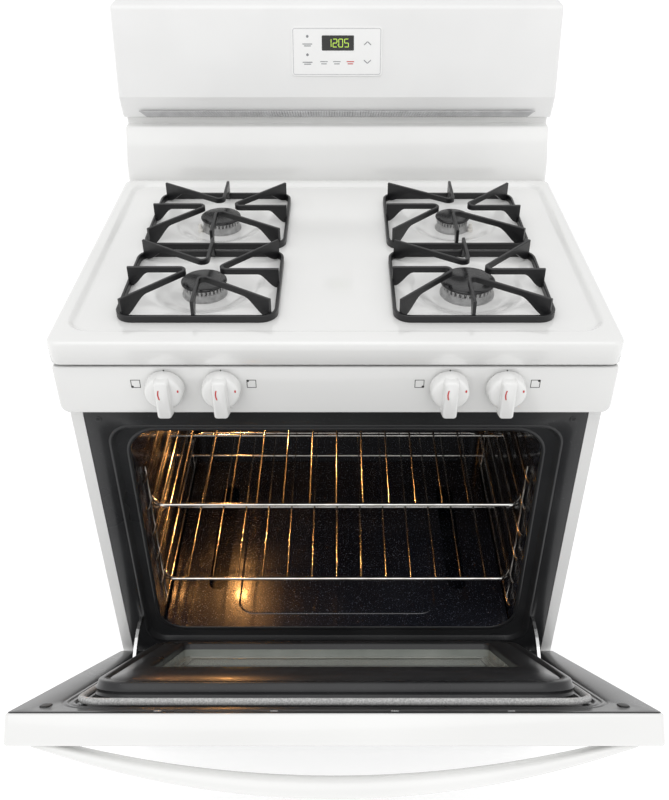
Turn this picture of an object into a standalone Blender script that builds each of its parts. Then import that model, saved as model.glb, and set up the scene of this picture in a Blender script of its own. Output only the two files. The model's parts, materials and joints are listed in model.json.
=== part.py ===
"""Freestanding gas range with four burners, an oven, a drop-down door and a storage drawer.

Units are metres and +Z is up. The front faces -Y. Pieces are placed from the range's own empty,
where y = 0 is the front of the cooktop lip, z = 0 the floor and x = 0 the middle.
"""

import math

import bmesh
import bpy
from mathutils import Matrix, Vector

# Overall sizes
WIDTH = 0.7588
COOKTOP_Z = 0.914
BODY_REAR_Y = 0.632

# Shared small values
GAP = 0.0003
SHEET = 0.0012
CUT_REACH = 0.010
PANEL_INSET = 0.0047
BODY_FRONT_Y = 0.0285
BASE_Z = 0.0335
FLANGE = 0.0172

# Cooktop
LIP_HEIGHT = 0.035
RIM_SIDE = 0.0214
RIM_FRONT = 0.033
RIM_REAR = 0.019
RIM_SLOPE = 0.004
WELL_DEPTH = 0.006
RISER_DEPTH = 0.1055
BURNER_DROP = 0.010

# Grates
GRATE_WIDTH = 0.222
GRATE_SIDE_MARGIN = 0.057
GRATE_FRONT_MARGIN = 0.0266
GRATE_REAR_MARGIN = 0.0505
GRATE_SPACING = 0.0204
GRATE_CORNER = 0.024
GRATE_TOP_Z_ABOVE = 0.026
FINGER_HEIGHT = 0.0085
FINGER_THICK = 0.0046
FRAME_BAR_HEIGHT = 0.010
HAIRPIN_REACH = 0.034
HAIRPIN_OFFSET = 0.005
HAIRPIN_RADIUS = 0.008
GRATE_LIFT_GAP = 0.0005
FINGER_FOOT = 0.002
FINGER_FLARE_START = 0.66
FINGER_FLARE_END = 0.93
BEND_OVERLAP = 0.05

# Burners: cap radius by place
CAP_RADIUS = {"front_left": 0.033, "rear_left": 0.0325, "front_right": 0.0398, "rear_right": 0.028}
CAP_THICK = 0.0048
CAP_EDGE = 0.004
HEAD_INSET = 0.003
HEAD_HEIGHT = 0.0182
BASE_FLANGE = 0.011
BASE_FLANGE_THICK = 0.002
BASE_FLANGE_SLOPE = 0.001
THROAT_RADIUS = 0.014
THROAT_LENGTH = 0.028
BURNER_HOLE_CLEARANCE = 0.004

# Knob panel, valves and knobs
KNOB_PANEL_TOP_GAP = 0.0054
KNOB_PANEL_HEIGHT = 0.0766
KNOB_PANEL_INSET = 0.0019
KNOB_PANEL_FRONT_Y = 0.004
KNOB_FROM_EDGE = (0.1485, 0.2245)
KNOB_FROM_PANEL_TOP = 0.0303
KNOB_RADIUS = 0.0265
KNOB_SKIRT = 0.0135
KNOB_CLEARANCE = 0.0035
GRIP_WIDTH = 0.0135
GRIP_RISE = 0.014
GRIP_SUNK = 0.0065
GRIP_TAIL = 0.0335
GRIP_HEAD = 0.024
STEM_RADIUS = 0.004
STEM_CLEARANCE = 0.0005
STEM_HOLE_CLEARANCE = 0.002
KNOB_BORE_DEPTH = 0.006
VALVE_RADIUS = 0.013
VALVE_FRONT_Y = 0.030
VALVE_BORE_DEPTH = 0.016
PUSH_TRAVEL = 0.0025
MANIFOLD_RADIUS = 0.010
MANIFOLD_Y = 0.062
MANIFOLD_END_MARGIN = 0.080
SUPPLY_RADIUS = 0.0075
SUPPLY_BEND = 0.020
SUPPLY_FROM_SIDE = 0.044
SUPPLY_FROM_REAR = 0.030
SUPPLY_DROP = 0.1833
SUPPLY_JOIN = 0.060
SUPPLY_END = 0.016

# Oven
SIDE_WALL = 0.0727
CAVITY_BELOW_COOKTOP = 0.174
OVEN_BURNER_SPACE = 0.043
LINER_ABOVE_FRAME = 0.026
REAR_SPACE = 0.142
LINER_SHEET = 0.0010
INSULATION = 0.020
OPENING_ABOVE_FLOOR = 0.005
FRAME_TOP_BELOW_COOKTOP = 0.1203
FRAME_ABOVE_DRAWER = 0.008
SEAT_WIDTH = 0.022
SEAT_HEIGHT = 0.012
SEAT_DEPTH = 0.0085
SEAT_BOTTOM = 0.024
SEAT_SLOPE = 0.002
SEAT_TOP_SLOPE = 0.001
FLOOR_EDGE_GAP = 0.003
FLOOR_FRONT_Y = 0.042
FLOOR_SLOT_WIDTH = 0.033
FLOOR_SLOT_FROM_SIDE = 0.084
FLOOR_SLOT_START = 0.085
FLOOR_SLOT_END = 0.080
OVEN_BURNER_RADIUS = 0.013
OVEN_BURNER_FRONT_GAP = 0.070
OVEN_BURNER_REAR_GAP = 0.020
LAMP_RADIUS = 0.024
LAMP_DEPTH = 0.020
LAMP_FROM_SIDE = 0.075
LAMP_BELOW_TOP = 0.050
SENSOR_RADIUS = 0.003
SENSOR_LENGTH = 0.090
SENSOR_FROM_SIDE = 0.100
SENSOR_BELOW_TOP = 0.040

# Racks and their ladders
RACK_ROD = 0.0030
RACK_WIRE = 0.0016
RACK_CROSS = 0.0024
RACK_SIDE_GAP = 0.0065
RACK_FRONT_Y = 0.063
RACK_REAR_GAP = 0.028
RACK_CORNER = 0.022
RACK_WIRES = 13
RACK_WIRE_MARGIN = 0.0405
RACK_WIRE_UP = 0.0009
RACK_WELD = 0.0008
RACK_CROSS_SHARE = 0.45
RACK_CROSS_FROM_REAR = 0.070
LADDER_WIRE = 0.0024
LADDER_INSET = 0.0062
LADDER_POST_INSET = 0.0028
LADDER_LEVELS = 6
LADDER_FIRST = 0.0417
LADDER_TOP_SPACE = 0.112
LADDER_FRONT_GAP = 0.016
LADDER_REAR_GAP = 0.020
LADDER_POST_FROM_END = 0.030
LADDER_POST_SPARE = 0.012
LOWER_LEVEL = 1
UPPER_LEVEL = 4

# Door
DOOR_PIVOT_ABOVE_DRAWER = 0.0247
DOOR_HALF_THICK = 0.01865
DOOR_SWING_CLEARANCE = 0.00038
DOOR_TOP_GAP = 0.0079
DOOR_REST_ANGLE = 45.58
DOOR_SHEET = 0.0010
DOOR_LIP = 0.0205
DOOR_LIP_ENDS = 0.004
DOOR_SIDE_INSET = 0.0001
INNER_PANEL_GAP = 0.0005
PLATEAU_DEPTH = 0.025
PLATEAU_SIDE_GAP = 0.006
PLATEAU_TOP_GAP = 0.0051
PLATEAU_BOTTOM_GAP = 0.0089
PLATEAU_SLOPE = 0.004
WINDOW_SIDE = 0.046
WINDOW_BOTTOM = 0.026
WINDOW_TOP = 0.130
WINDOW_RECESS = 0.022
WINDOW_SLOPE = 0.002
GLASS_OVERLAP = 0.008
GLASS_THICK = 0.004
OUTER_WINDOW_SIDE = 0.135
OUTER_WINDOW_BOTTOM = 0.120
OUTER_WINDOW_TOP = 0.150
GASKET_RADIUS = 0.0045
GASKET_CORNER = 0.030
GASKET_SIDE_INSET = 0.002
GASKET_TOP_INSET = 0.001
HINGE_ARM_X_FROM_PANEL = 0.0427
HINGE_ARM_THICK = 0.005
HINGE_ARC_RADIUS = 0.092
HINGE_ARC_HALF_WIDTH = 0.005
HINGE_ARC_START = 96.0
HINGE_ARC_END = -16.0
HINGE_EYE_RADIUS = 0.0048
HINGE_PIN_RADIUS = 0.0025
HINGE_PIN_CLEARANCE = 0.0004
HINGE_SLOT_CLEARANCE = 0.004
HINGE_SPINE_OUTER = 0.010
HINGE_SPINE_INNER = 0.004
HINGE_PIN_SPARE = 0.001
ARM_SLOT_SIDE_CLEARANCE = 0.002
ARM_SLOT_END_CLEARANCE = 0.006
NOTCH_SIDE_CLEARANCE = 0.0015
NOTCH_END_CLEARANCE = 0.0025
BRACKET_THICK = 0.003
BRACKET_GAP = 0.003
BRACKET_HALF_HEIGHT = 0.0070
HANDLE_FROM_TOP = 0.0244
HANDLE_HALF_HEIGHT = 0.014
HANDLE_STAND_OFF = 0.0387
HANDLE_THICK = 0.023
HANDLE_END_MARGIN = 0.019
HANDLE_FOOT = 0.034

# Drawer
DRAWER_ABOVE_BASE = 0.0025
DRAWER_FRONT_HEIGHT = 0.192
DRAWER_BOX_BELOW_FRONT = 0.023
DRAWER_SIDE_GAP = 0.042
DRAWER_REAR_GAP = 0.070
RAIL_HEIGHT = 0.0185
RAIL_WIDTH = 0.016
RAIL_INSET = 0.004
RAIL_END_MARGIN = 0.020

# Backguard
RISER_HEIGHT = 0.085
RISER_LEAN = 0.031
RISER_REAR_INSET = 0.003
NECK_INSET = 0.020
NECK_REAR_INSET = 0.010
NECK_HEIGHT = 0.0118
CONSOLE_OVERHANG = 0.023
CONSOLE_BOTTOM_DEPTH = 0.062
CONSOLE_KNEE_DEPTH = 0.077
CONSOLE_TOP_DEPTH = 0.0485
CONSOLE_HEIGHT = 0.1839
CONSOLE_KNEE_HEIGHT = 0.0409
CONSOLE_WALL = 0.0025
KEYPAD_WIDTH = 0.154
KEYPAD_HEIGHT = 0.0785
KEYPAD_THICK = 0.0016
KEYPAD_CORNER = 0.006
KEYPAD_ABOVE_KNEE = 0.072
DISPLAY_WIDTH = 0.0545
DISPLAY_HEIGHT = 0.024
DISPLAY_THICK = 0.0012
DISPLAY_UP = 0.0133

# Legs and inlet
LEG_FOOT_RADIUS = 0.019
LEG_FOOT_HEIGHT = 0.010
LEG_STUD_RADIUS = 0.006
LEG_FROM_SIDE = 0.045
LEG_FROM_FRONT = 0.050
INLET_RADIUS = 0.014
INLET_LENGTH = 0.014
INLET_FROM_SIDE = 0.110
INLET_Z = 0.150

# Sizes that follow from the values above
HALF = WIDTH / 2
BODY_HALF = HALF - PANEL_INSET
SEAM_X = BODY_HALF - FLANGE
DRAWER_BOTTOM_Z = BASE_Z + DRAWER_ABOVE_BASE
DRAWER_TOP_Z = DRAWER_BOTTOM_Z + DRAWER_FRONT_HEIGHT
DRAWER_BOX_TOP_Z = DRAWER_TOP_Z - DRAWER_BOX_BELOW_FRONT
DRAWER_BOX_BOTTOM_Z = BASE_Z + RAIL_HEIGHT
DOOR_PIVOT_Z = DRAWER_TOP_Z + DOOR_PIVOT_ABOVE_DRAWER
FRAME_BOTTOM_Z = DRAWER_TOP_Z + FRAME_ABOVE_DRAWER
LINER_BOTTOM_Z = FRAME_BOTTOM_Z + LINER_ABOVE_FRAME
OVEN_FLOOR_Z = LINER_BOTTOM_Z + OVEN_BURNER_SPACE
OPENING_BOTTOM_Z = OVEN_FLOOR_Z + OPENING_ABOVE_FLOOR
CAVITY_HALF = BODY_HALF - SIDE_WALL
CAVITY_TOP_Z = COOKTOP_Z - CAVITY_BELOW_COOKTOP
CAVITY_REAR_Y = BODY_REAR_Y - REAR_SPACE
SEAT_Y = BODY_FRONT_Y + SEAT_DEPTH
LINER_FRONT_Y = SEAT_Y + SHEET + GAP
CONSOLE_REAR_Y = BODY_REAR_Y + CONSOLE_OVERHANG
RISER_Y = CONSOLE_REAR_Y - RISER_DEPTH
RISER_REAR_Y = CONSOLE_REAR_Y - RISER_REAR_INSET
RISER_TOP_Z = COOKTOP_Z + RISER_HEIGHT
CONSOLE_BOTTOM_Z = RISER_TOP_Z + NECK_HEIGHT + GAP
CONSOLE_KNEE_Z = CONSOLE_BOTTOM_Z + CONSOLE_KNEE_HEIGHT
CONSOLE_TOP_Z = CONSOLE_BOTTOM_Z + CONSOLE_HEIGHT
CONSOLE_BOTTOM_Y = CONSOLE_REAR_Y - CONSOLE_BOTTOM_DEPTH
CONSOLE_KNEE_Y = CONSOLE_REAR_Y - CONSOLE_KNEE_DEPTH
CONSOLE_TOP_Y = CONSOLE_REAR_Y - CONSOLE_TOP_DEPTH
KEYPAD_Z = CONSOLE_KNEE_Z + KEYPAD_ABOVE_KNEE
WELL_Z = COOKTOP_Z - WELL_DEPTH
WELL_HALF = HALF - RIM_SIDE
WELL_REAR_Y = RISER_Y - RIM_REAR
BURNER_Z = WELL_Z - BURNER_DROP
GRATE_SPAN = WELL_REAR_Y - GRATE_REAR_MARGIN - RIM_FRONT - GRATE_FRONT_MARGIN
GRATE_DEPTH = (GRATE_SPAN - GRATE_SPACING) / 2
GRATE_X = WELL_HALF - GRATE_SIDE_MARGIN - GRATE_WIDTH / 2
FRONT_GRATE_Y = RIM_FRONT + GRATE_FRONT_MARGIN + GRATE_DEPTH / 2
REAR_GRATE_Y = FRONT_GRATE_Y + GRATE_DEPTH + GRATE_SPACING
KNOB_PANEL_TOP_Z = COOKTOP_Z - LIP_HEIGHT - KNOB_PANEL_TOP_GAP
KNOB_PANEL_BOTTOM_Z = KNOB_PANEL_TOP_Z - KNOB_PANEL_HEIGHT
KNOB_Z = KNOB_PANEL_TOP_Z - KNOB_FROM_PANEL_TOP
KNOB_PANEL_HALF = HALF - KNOB_PANEL_INSET
RACK_PITCH = (CAVITY_TOP_Z - OVEN_FLOOR_Z - LADDER_FIRST - LADDER_TOP_SPACE) / (LADDER_LEVELS - 1)
DOOR_TOP = KNOB_PANEL_BOTTOM_Z - DOOR_TOP_GAP - DOOR_PIVOT_Z
DOOR_HALF_WIDTH = HALF - DOOR_SIDE_INSET
HINGE_X = BODY_HALF - HINGE_ARM_X_FROM_PANEL
DOOR_BELOW_PIVOT = HINGE_EYE_RADIUS + DOOR_SHEET + GAP
DOOR_SWING_RADIUS = math.hypot(DOOR_HALF_THICK, DOOR_BELOW_PIVOT)
DOOR_PIVOT_Y = BODY_FRONT_Y - DOOR_SWING_RADIUS - DOOR_SWING_CLEARANCE
DRAWER_FRONT_Y = DOOR_PIVOT_Y - DOOR_HALF_THICK
DOOR_LEAN = math.radians(DOOR_REST_ANGLE)
HANDLE_CENTRE = DOOR_TOP - HANDLE_FROM_TOP
HANDLE_OUTER = DOOR_HALF_THICK + HANDLE_STAND_OFF + HANDLE_THICK
FRONT_MOST_Y = (
    DOOR_PIVOT_Y
    - HANDLE_OUTER * math.cos(DOOR_LEAN)
    - (HANDLE_CENTRE + HANDLE_HALF_HEIGHT) * math.sin(DOOR_LEAN)
)

# Colour, roughness and metallic value of each finish
FINISHES = {
    "white_enamel": ((0.86, 0.86, 0.85), 0.25, 0.0),
    "white_steel": ((0.84, 0.84, 0.83), 0.35, 0.0),
    "dark_enamel": ((0.035, 0.037, 0.042), 0.22, 0.0),
    "black_enamel": ((0.02, 0.02, 0.021), 0.4, 0.0),
    "cavity_enamel": ((0.03, 0.032, 0.036), 0.25, 0.0),
    "galvanised": ((0.55, 0.56, 0.57), 0.45, 0.9),
    "aluminium": ((0.62, 0.62, 0.61), 0.45, 1.0),
    "chrome": ((0.75, 0.75, 0.76), 0.15, 1.0),
    "brass": ((0.72, 0.55, 0.25), 0.35, 1.0),
    "white_plastic": ((0.87, 0.87, 0.86), 0.3, 0.0),
    "black_plastic": ((0.02, 0.02, 0.02), 0.3, 0.0),
    "glass": ((0.5, 0.58, 0.54), 0.05, 0.0),
    "woven_glass": ((0.55, 0.56, 0.56), 0.8, 0.0),
    "wool": ((0.8, 0.75, 0.5), 0.95, 0.0),
}


def clear_scene():
    for obj in list(bpy.data.objects):
        bpy.data.objects.remove(obj, do_unlink=True)


def new_collection(name, hidden=False):
    collection = bpy.data.collections.new(name)
    bpy.context.scene.collection.children.link(collection)
    collection.hide_render = hidden
    return collection


clear_scene()
PARTS = new_collection("gas_range")
CUTTERS = new_collection("cutters", hidden=True)


def new_empty(name, parent, place):
    empty = bpy.data.objects.new(name, None)
    empty.empty_display_size = 0.05
    empty.parent = parent
    empty.location = place
    PARTS.objects.link(empty)
    return empty


RANGE = new_empty("range_origin", None, (0, -(CONSOLE_REAR_Y + FRONT_MOST_Y) / 2, 0))


def finish(name):
    found = bpy.data.materials.get(name)
    if found:
        return found
    colour, roughness, metallic = FINISHES[name]
    found = bpy.data.materials.new(name)
    found.use_nodes = True
    shader = found.node_tree.nodes["Principled BSDF"]
    shader.inputs["Base Color"].default_value = (*colour, 1)
    shader.inputs["Roughness"].default_value = roughness
    shader.inputs["Metallic"].default_value = metallic
    return found


def node_from(name, bm, finish_name, parent=None, place=(0, 0, 0), smooth=False):
    """A named sub-part made from a bmesh."""
    mesh = bpy.data.meshes.new(name)
    bm.to_mesh(mesh)
    bm.free()
    if smooth:
        mesh.shade_smooth()
        mesh.set_sharp_from_angle(angle=math.radians(35))
    mesh.materials.append(finish(finish_name))
    obj = bpy.data.objects.new(name, mesh)
    obj.parent = parent or RANGE
    obj.location = place
    PARTS.objects.link(obj)
    return obj


def as_cutter(obj):
    """Moves a sub-part to the cutters, which aren't part of the range."""
    PARTS.objects.unlink(obj)
    CUTTERS.objects.link(obj)
    obj.hide_render = True
    obj.display_type = "WIRE"
    return obj


def combine(obj, other, operation, use_self=False):
    modifier = obj.modifiers.new(operation.lower(), "BOOLEAN")
    modifier.operation = operation
    modifier.solver = "EXACT"
    modifier.object = other
    modifier.use_self = use_self


def thicken(obj, thickness, offset=-1):
    modifier = obj.modifiers.new("thickness", "SOLIDIFY")
    modifier.thickness = thickness
    modifier.offset = offset
    modifier.use_even_offset = True


def box_mesh(low, high, bm=None):
    """A cube between two corners, in its own bmesh or added to one."""
    bm = bm or bmesh.new()
    low, high = Vector(low), Vector(high)
    made = bmesh.ops.create_cube(bm, size=1)
    bmesh.ops.scale(bm, vec=high - low, verts=made["verts"])
    bmesh.ops.translate(bm, vec=(low + high) / 2, verts=made["verts"])
    return bm


def rod_mesh(start, end, radius, sides=8, bm=None):
    """A closed cylinder from one point to another."""
    bm = bm or bmesh.new()
    start, end = Vector(start), Vector(end)
    along = end - start
    turn = Vector((0, 0, 1)).rotation_difference(along).to_matrix().to_4x4()
    middle = Matrix.Translation((start + end) / 2) @ turn
    bmesh.ops.create_cone(
        bm,
        cap_ends=True,
        segments=sides,
        radius1=radius,
        radius2=radius,
        depth=along.length,
        matrix=middle,
    )
    return bm


def box_node(name, low, high, finish_name, parent=None):
    return node_from(name, box_mesh(low, high), finish_name, parent)


def box_cutter(name, low, high, parent=None):
    return as_cutter(box_node(name, low, high, "galvanised", parent))


def rod_cutter(name, start, end, radius, sides=24, parent=None):
    return as_cutter(node_from(name, rod_mesh(start, end, radius, sides), "galvanised", parent))


def lofted(rings, level, first_cap=False, last_cap=True):
    """Rectangles joined ring to ring. level puts a flat corner (a, b) and a height c in space."""
    bm = bmesh.new()
    loops = []
    for a0, a1, b0, b1, height in rings:
        corners = ((a0, b0), (a1, b0), (a1, b1), (a0, b1))
        loops.append([bm.verts.new(level(a, b, height)) for a, b in corners])
    for lower, upper in zip(loops, loops[1:]):
        for i in range(4):
            j = (i + 1) % 4
            bm.faces.new((lower[i], lower[j], upper[j], upper[i]))
    if last_cap:
        bm.faces.new(loops[-1])
    if first_cap:
        bm.faces.new(loops[0][::-1])
    return bm


def upright(a, b, height):
    """Ring corners are (x, y) and the height is z."""
    return (a, b, height)


def facing_front(a, b, height):
    """Ring corners are (x, z) and the height runs forwards, along -y."""
    return (a, -height, b)


def facing_rear(a, b, height):
    """Ring corners are (-x, z) and the height runs rearwards, along +y."""
    return (-a, height, b)


def turned(name, profile, finish_name, parent=None, place=(0, 0, 0), steps=24):
    """A profile of (radius, z) points, top to bottom down its outer side, turned about z."""
    bm = bmesh.new()
    points = [bm.verts.new((radius, 0, z)) for radius, z in profile]
    for first, second in zip(points, points[1:]):
        bm.edges.new((first, second))
    obj = node_from(name, bm, finish_name, parent, place)
    screw = obj.modifiers.new("turn", "SCREW")
    screw.steps = steps
    screw.render_steps = steps
    screw.use_merge_vertices = True
    screw.merge_threshold = 0.00005
    return obj


def curve_object(name, points, cyclic=False):
    curve = bpy.data.curves.new(name, "CURVE")
    curve.dimensions = "3D"
    spline = curve.splines.new("POLY")
    spline.points.add(len(points) - 1)
    for spot, point in zip(spline.points, points):
        spot.co = (*point, 1)
    spline.use_cyclic_u = cyclic
    return bpy.data.objects.new(name, curve)


def tube(name, points, radius, finish_name, parent=None, cyclic=False, resolution=2):
    """A round bar along points, made a closed mesh so that others can join it."""
    guide = curve_object(name + "_line", points, cyclic)
    guide.data.bevel_depth = radius
    guide.data.bevel_resolution = resolution
    guide.data.use_fill_caps = True
    CUTTERS.objects.link(guide)
    graph = bpy.context.evaluated_depsgraph_get()
    graph.update()
    mesh = bpy.data.meshes.new_from_object(guide.evaluated_get(graph))
    bpy.data.objects.remove(guide, do_unlink=True)
    bm = bmesh.new()
    bm.from_mesh(mesh)
    bmesh.ops.remove_doubles(bm, verts=bm.verts, dist=0.00002)
    bmesh.ops.recalc_face_normals(bm, faces=bm.faces)
    return node_from(name, bm, finish_name, parent)


def flat_outline(points, low, high):
    """A closed outline of (x, y) points raised from low to high."""
    bm = bmesh.new()
    base = bm.faces.new([bm.verts.new((x, y, low)) for x, y in points])
    raised = bmesh.ops.extrude_face_region(bm, geom=[base])
    moved = [item for item in raised["geom"] if isinstance(item, bmesh.types.BMVert)]
    bmesh.ops.translate(bm, vec=(0, 0, high - low), verts=moved)
    bmesh.ops.recalc_face_normals(bm, faces=bm.faces)
    return bm


def rounded_rectangle(half_a, half_b, corner, steps=4, centre=(0, 0)):
    """Points round a rectangle with arcs at its corners, anticlockwise."""
    points = []
    for quarter, (sign_a, sign_b) in enumerate(((1, 1), (-1, 1), (-1, -1), (1, -1))):
        middle_a = centre[0] + sign_a * (half_a - corner)
        middle_b = centre[1] + sign_b * (half_b - corner)
        for step in range(steps + 1):
            angle = math.radians(90 * (quarter + step / steps))
            points.append((middle_a + corner * math.cos(angle), middle_b + corner * math.sin(angle)))
    return points


def both_sides():
    return (("left", -1), ("right", 1))


def burner_places():
    """Each burner's name with the centre of its grate."""
    for row, y in (("front", FRONT_GRATE_Y), ("rear", REAR_GRATE_Y)):
        for side, sign in both_sides():
            yield f"{row}_{side}", Vector((sign * GRATE_X, y, 0))


def knob_places():
    """Knobs numbered from the left."""
    near, far = (KNOB_PANEL_HALF - edge for edge in reversed(KNOB_FROM_EDGE))
    for number, x in enumerate((-far, -near, near, far), start=1):
        yield number, x


# Casing


def side_panel(side, sign):
    path = [
        (sign * SEAM_X, BODY_FRONT_Y),
        (sign * BODY_HALF, BODY_FRONT_Y),
        (sign * BODY_HALF, BODY_REAR_Y),
        (sign * (BODY_HALF - FLANGE), BODY_REAR_Y),
    ]
    if sign < 0:
        path.reverse()
    bm = bmesh.new()
    top = COOKTOP_Z - LIP_HEIGHT - GAP
    lower = [bm.verts.new((x, y, BASE_Z)) for x, y in path]
    upper = [bm.verts.new((x, y, top)) for x, y in path]
    for i in range(len(path) - 1):
        bm.faces.new((lower[i], lower[i + 1], upper[i + 1], upper[i]))
    thicken(node_from(f"side_panel_{side}", bm, "white_steel"), SHEET)


def rear_panel():
    half = BODY_HALF - SHEET
    front = BODY_REAR_Y + GAP
    top = COOKTOP_Z - LIP_HEIGHT - GAP
    panel = box_node("rear_panel", (-half, front, BASE_Z), (half, front + SHEET, top), "galvanised")
    x, _, z = supply_route()[-1]
    hole = SUPPLY_RADIUS + STEM_HOLE_CLEARANCE
    start, end = (x, front - CUT_REACH, z), (x, front + CUT_REACH, z)
    combine(panel, rod_cutter("supply_hole", start, end, hole, 12), "DIFFERENCE")


def base_pan():
    """A flat pan with a rail on each side that the drawer runs on."""
    half = BODY_HALF - SHEET - 2 * GAP
    front = BODY_FRONT_Y + SHEET + 2 * GAP
    rear = BODY_REAR_Y - SHEET - 2 * GAP
    pan = box_node("base_pan", (-half, front, BASE_Z), (half, rear, BASE_Z + SHEET), "galvanised")
    rails = bmesh.new()
    top = DRAWER_BOX_BOTTOM_Z - GAP
    for _, sign in both_sides():
        outer = sign * (BODY_HALF - DRAWER_SIDE_GAP - RAIL_INSET)
        inner = outer - sign * RAIL_WIDTH
        low = (min(outer, inner), front + RAIL_END_MARGIN, BASE_Z + SHEET / 2)
        box_mesh(low, (max(outer, inner), rear - RAIL_END_MARGIN, top), rails)
    combine(pan, as_cutter(node_from("drawer_rails", rails, "galvanised")), "UNION", use_self=True)


def levelling_legs():
    top = BASE_Z - GAP
    profile = (
        (0, top),
        (LEG_STUD_RADIUS, top),
        (LEG_STUD_RADIUS, LEG_FOOT_HEIGHT),
        (LEG_FOOT_RADIUS, LEG_FOOT_HEIGHT),
        (LEG_FOOT_RADIUS, 0),
        (0, 0),
    )
    rows = (("front", BODY_FRONT_Y + LEG_FROM_FRONT), ("rear", BODY_REAR_Y - LEG_FROM_FRONT))
    for row, y in rows:
        for side, sign in both_sides():
            place = (sign * (BODY_HALF - LEG_FROM_SIDE), y, 0)
            turned(f"levelling_leg_{row}_{side}", profile, "galvanised", None, place, steps=12)


def front_frame():
    """A flat frame that steps back to a gasket seat round the oven opening."""
    outer = SEAM_X - GAP
    top = COOKTOP_Z - FRAME_TOP_BELOW_COOKTOP
    seat = CAVITY_HALF + SEAT_WIDTH
    seat_top = CAVITY_TOP_Z + SEAT_HEIGHT
    seat_low = OPENING_BOTTOM_Z - SEAT_BOTTOM
    rings = (
        (-outer, outer, FRAME_BOTTOM_Z, top, -BODY_FRONT_Y),
        (-seat, seat, seat_low, seat_top, -BODY_FRONT_Y),
        (
            -seat + SEAT_SLOPE,
            seat - SEAT_SLOPE,
            seat_low + SEAT_SLOPE,
            seat_top - SEAT_TOP_SLOPE,
            -SEAT_Y,
        ),
        (-CAVITY_HALF, CAVITY_HALF, OPENING_BOTTOM_Z, CAVITY_TOP_Z, -SEAT_Y),
    )
    frame = node_from("front_frame", lofted(rings, facing_front, last_cap=False), "dark_enamel")
    thicken(frame, SHEET)
    crossing = math.sqrt(HINGE_ARC_RADIUS**2 - (BODY_FRONT_Y - DOOR_PIVOT_Y) ** 2)
    tall = HINGE_ARC_HALF_WIDTH + HINGE_SLOT_CLEARANCE
    wide = HINGE_ARM_THICK / 2 + HINGE_SLOT_CLEARANCE / 2
    for side, sign in both_sides():
        middle = Vector((sign * HINGE_X, BODY_FRONT_Y, DOOR_PIVOT_Z + crossing))
        reach = Vector((wide, CUT_REACH, tall))
        combine(frame, box_cutter(f"hinge_slot_{side}", middle - reach, middle + reach), "DIFFERENCE")


# Oven


def oven_liner():
    bm = box_mesh(
        (-CAVITY_HALF, LINER_FRONT_Y, LINER_BOTTOM_Z), (CAVITY_HALF, CAVITY_REAR_Y, CAVITY_TOP_Z)
    )
    remove_faces(bm, Vector((0, -1, 0)))
    thicken(node_from("oven_liner", bm, "cavity_enamel"), LINER_SHEET, offset=1)


def remove_faces(bm, *directions):
    """Opens a box on the sides that face these directions."""
    bm.normal_update()
    gone = [face for face in bm.faces if any(face.normal.dot(way) > 0.9 for way in directions)]
    bmesh.ops.delete(bm, geom=gone, context="FACES")


def oven_insulation():
    half = CAVITY_HALF + LINER_SHEET + 2 * GAP
    low = (-half, LINER_FRONT_Y + INSULATION, LINER_BOTTOM_Z)
    high = (half, CAVITY_REAR_Y + LINER_SHEET + 2 * GAP, CAVITY_TOP_Z + LINER_SHEET + 2 * GAP)
    bm = box_mesh(low, high)
    remove_faces(bm, Vector((0, -1, 0)), Vector((0, 0, -1)))
    thicken(node_from("oven_insulation", bm, "wool"), INSULATION, offset=1)


def oven_floor():
    half = CAVITY_HALF - FLOOR_EDGE_GAP
    rear = CAVITY_REAR_Y - FLOOR_EDGE_GAP
    low = (-half, FLOOR_FRONT_Y, OVEN_FLOOR_Z - SHEET)
    floor = box_node("oven_floor", low, (half, rear, OVEN_FLOOR_Z), "cavity_enamel")
    start = FLOOR_FRONT_Y + FLOOR_SLOT_START
    end = rear - FLOOR_SLOT_END
    middle = (start + end) / 2
    for side, sign in both_sides():
        x = sign * (CAVITY_HALF - FLOOR_SLOT_FROM_SIDE)
        corner = FLOOR_SLOT_WIDTH / 2 - GAP
        outline = rounded_rectangle(
            FLOOR_SLOT_WIDTH / 2, (end - start) / 2, corner, 4, centre=(x, middle)
        )
        bm = flat_outline(outline, OVEN_FLOOR_Z - CUT_REACH, OVEN_FLOOR_Z + CUT_REACH)
        combine(floor, as_cutter(node_from(f"floor_slot_{side}", bm, "galvanised")), "DIFFERENCE")


def rack_level(index):
    return OVEN_FLOOR_Z + LADDER_FIRST + index * RACK_PITCH


def rack_support(side, sign):
    """Rungs that run front to back, one below each rack level, on two posts."""
    rung_x = sign * (CAVITY_HALF - LADDER_INSET)
    post_x = sign * (CAVITY_HALF - LADDER_POST_INSET)
    drop = RACK_ROD + GAP + LADDER_WIRE
    front, rear = LINER_FRONT_Y + LADDER_FRONT_GAP, CAVITY_REAR_Y - LADDER_REAR_GAP
    first, last = rack_level(0) - drop, rack_level(LADDER_LEVELS - 1) - drop
    posts = bmesh.new()
    low, high = first - LADDER_POST_SPARE, last + LADDER_POST_SPARE
    for y in (front + LADDER_POST_FROM_END, rear - LADDER_POST_FROM_END):
        rod_mesh((post_x, y, low), (post_x, y, high), LADDER_WIRE, 6, posts)
    ladder = node_from(f"rack_support_{side}", posts, "chrome")
    rungs = bmesh.new()
    for index in range(LADDER_LEVELS):
        z = rack_level(index) - drop
        rod_mesh((rung_x, front, z), (rung_x, rear, z), LADDER_WIRE, 6, rungs)
    combine(ladder, as_cutter(node_from(f"rungs_{side}", rungs, "chrome")), "UNION")


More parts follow.
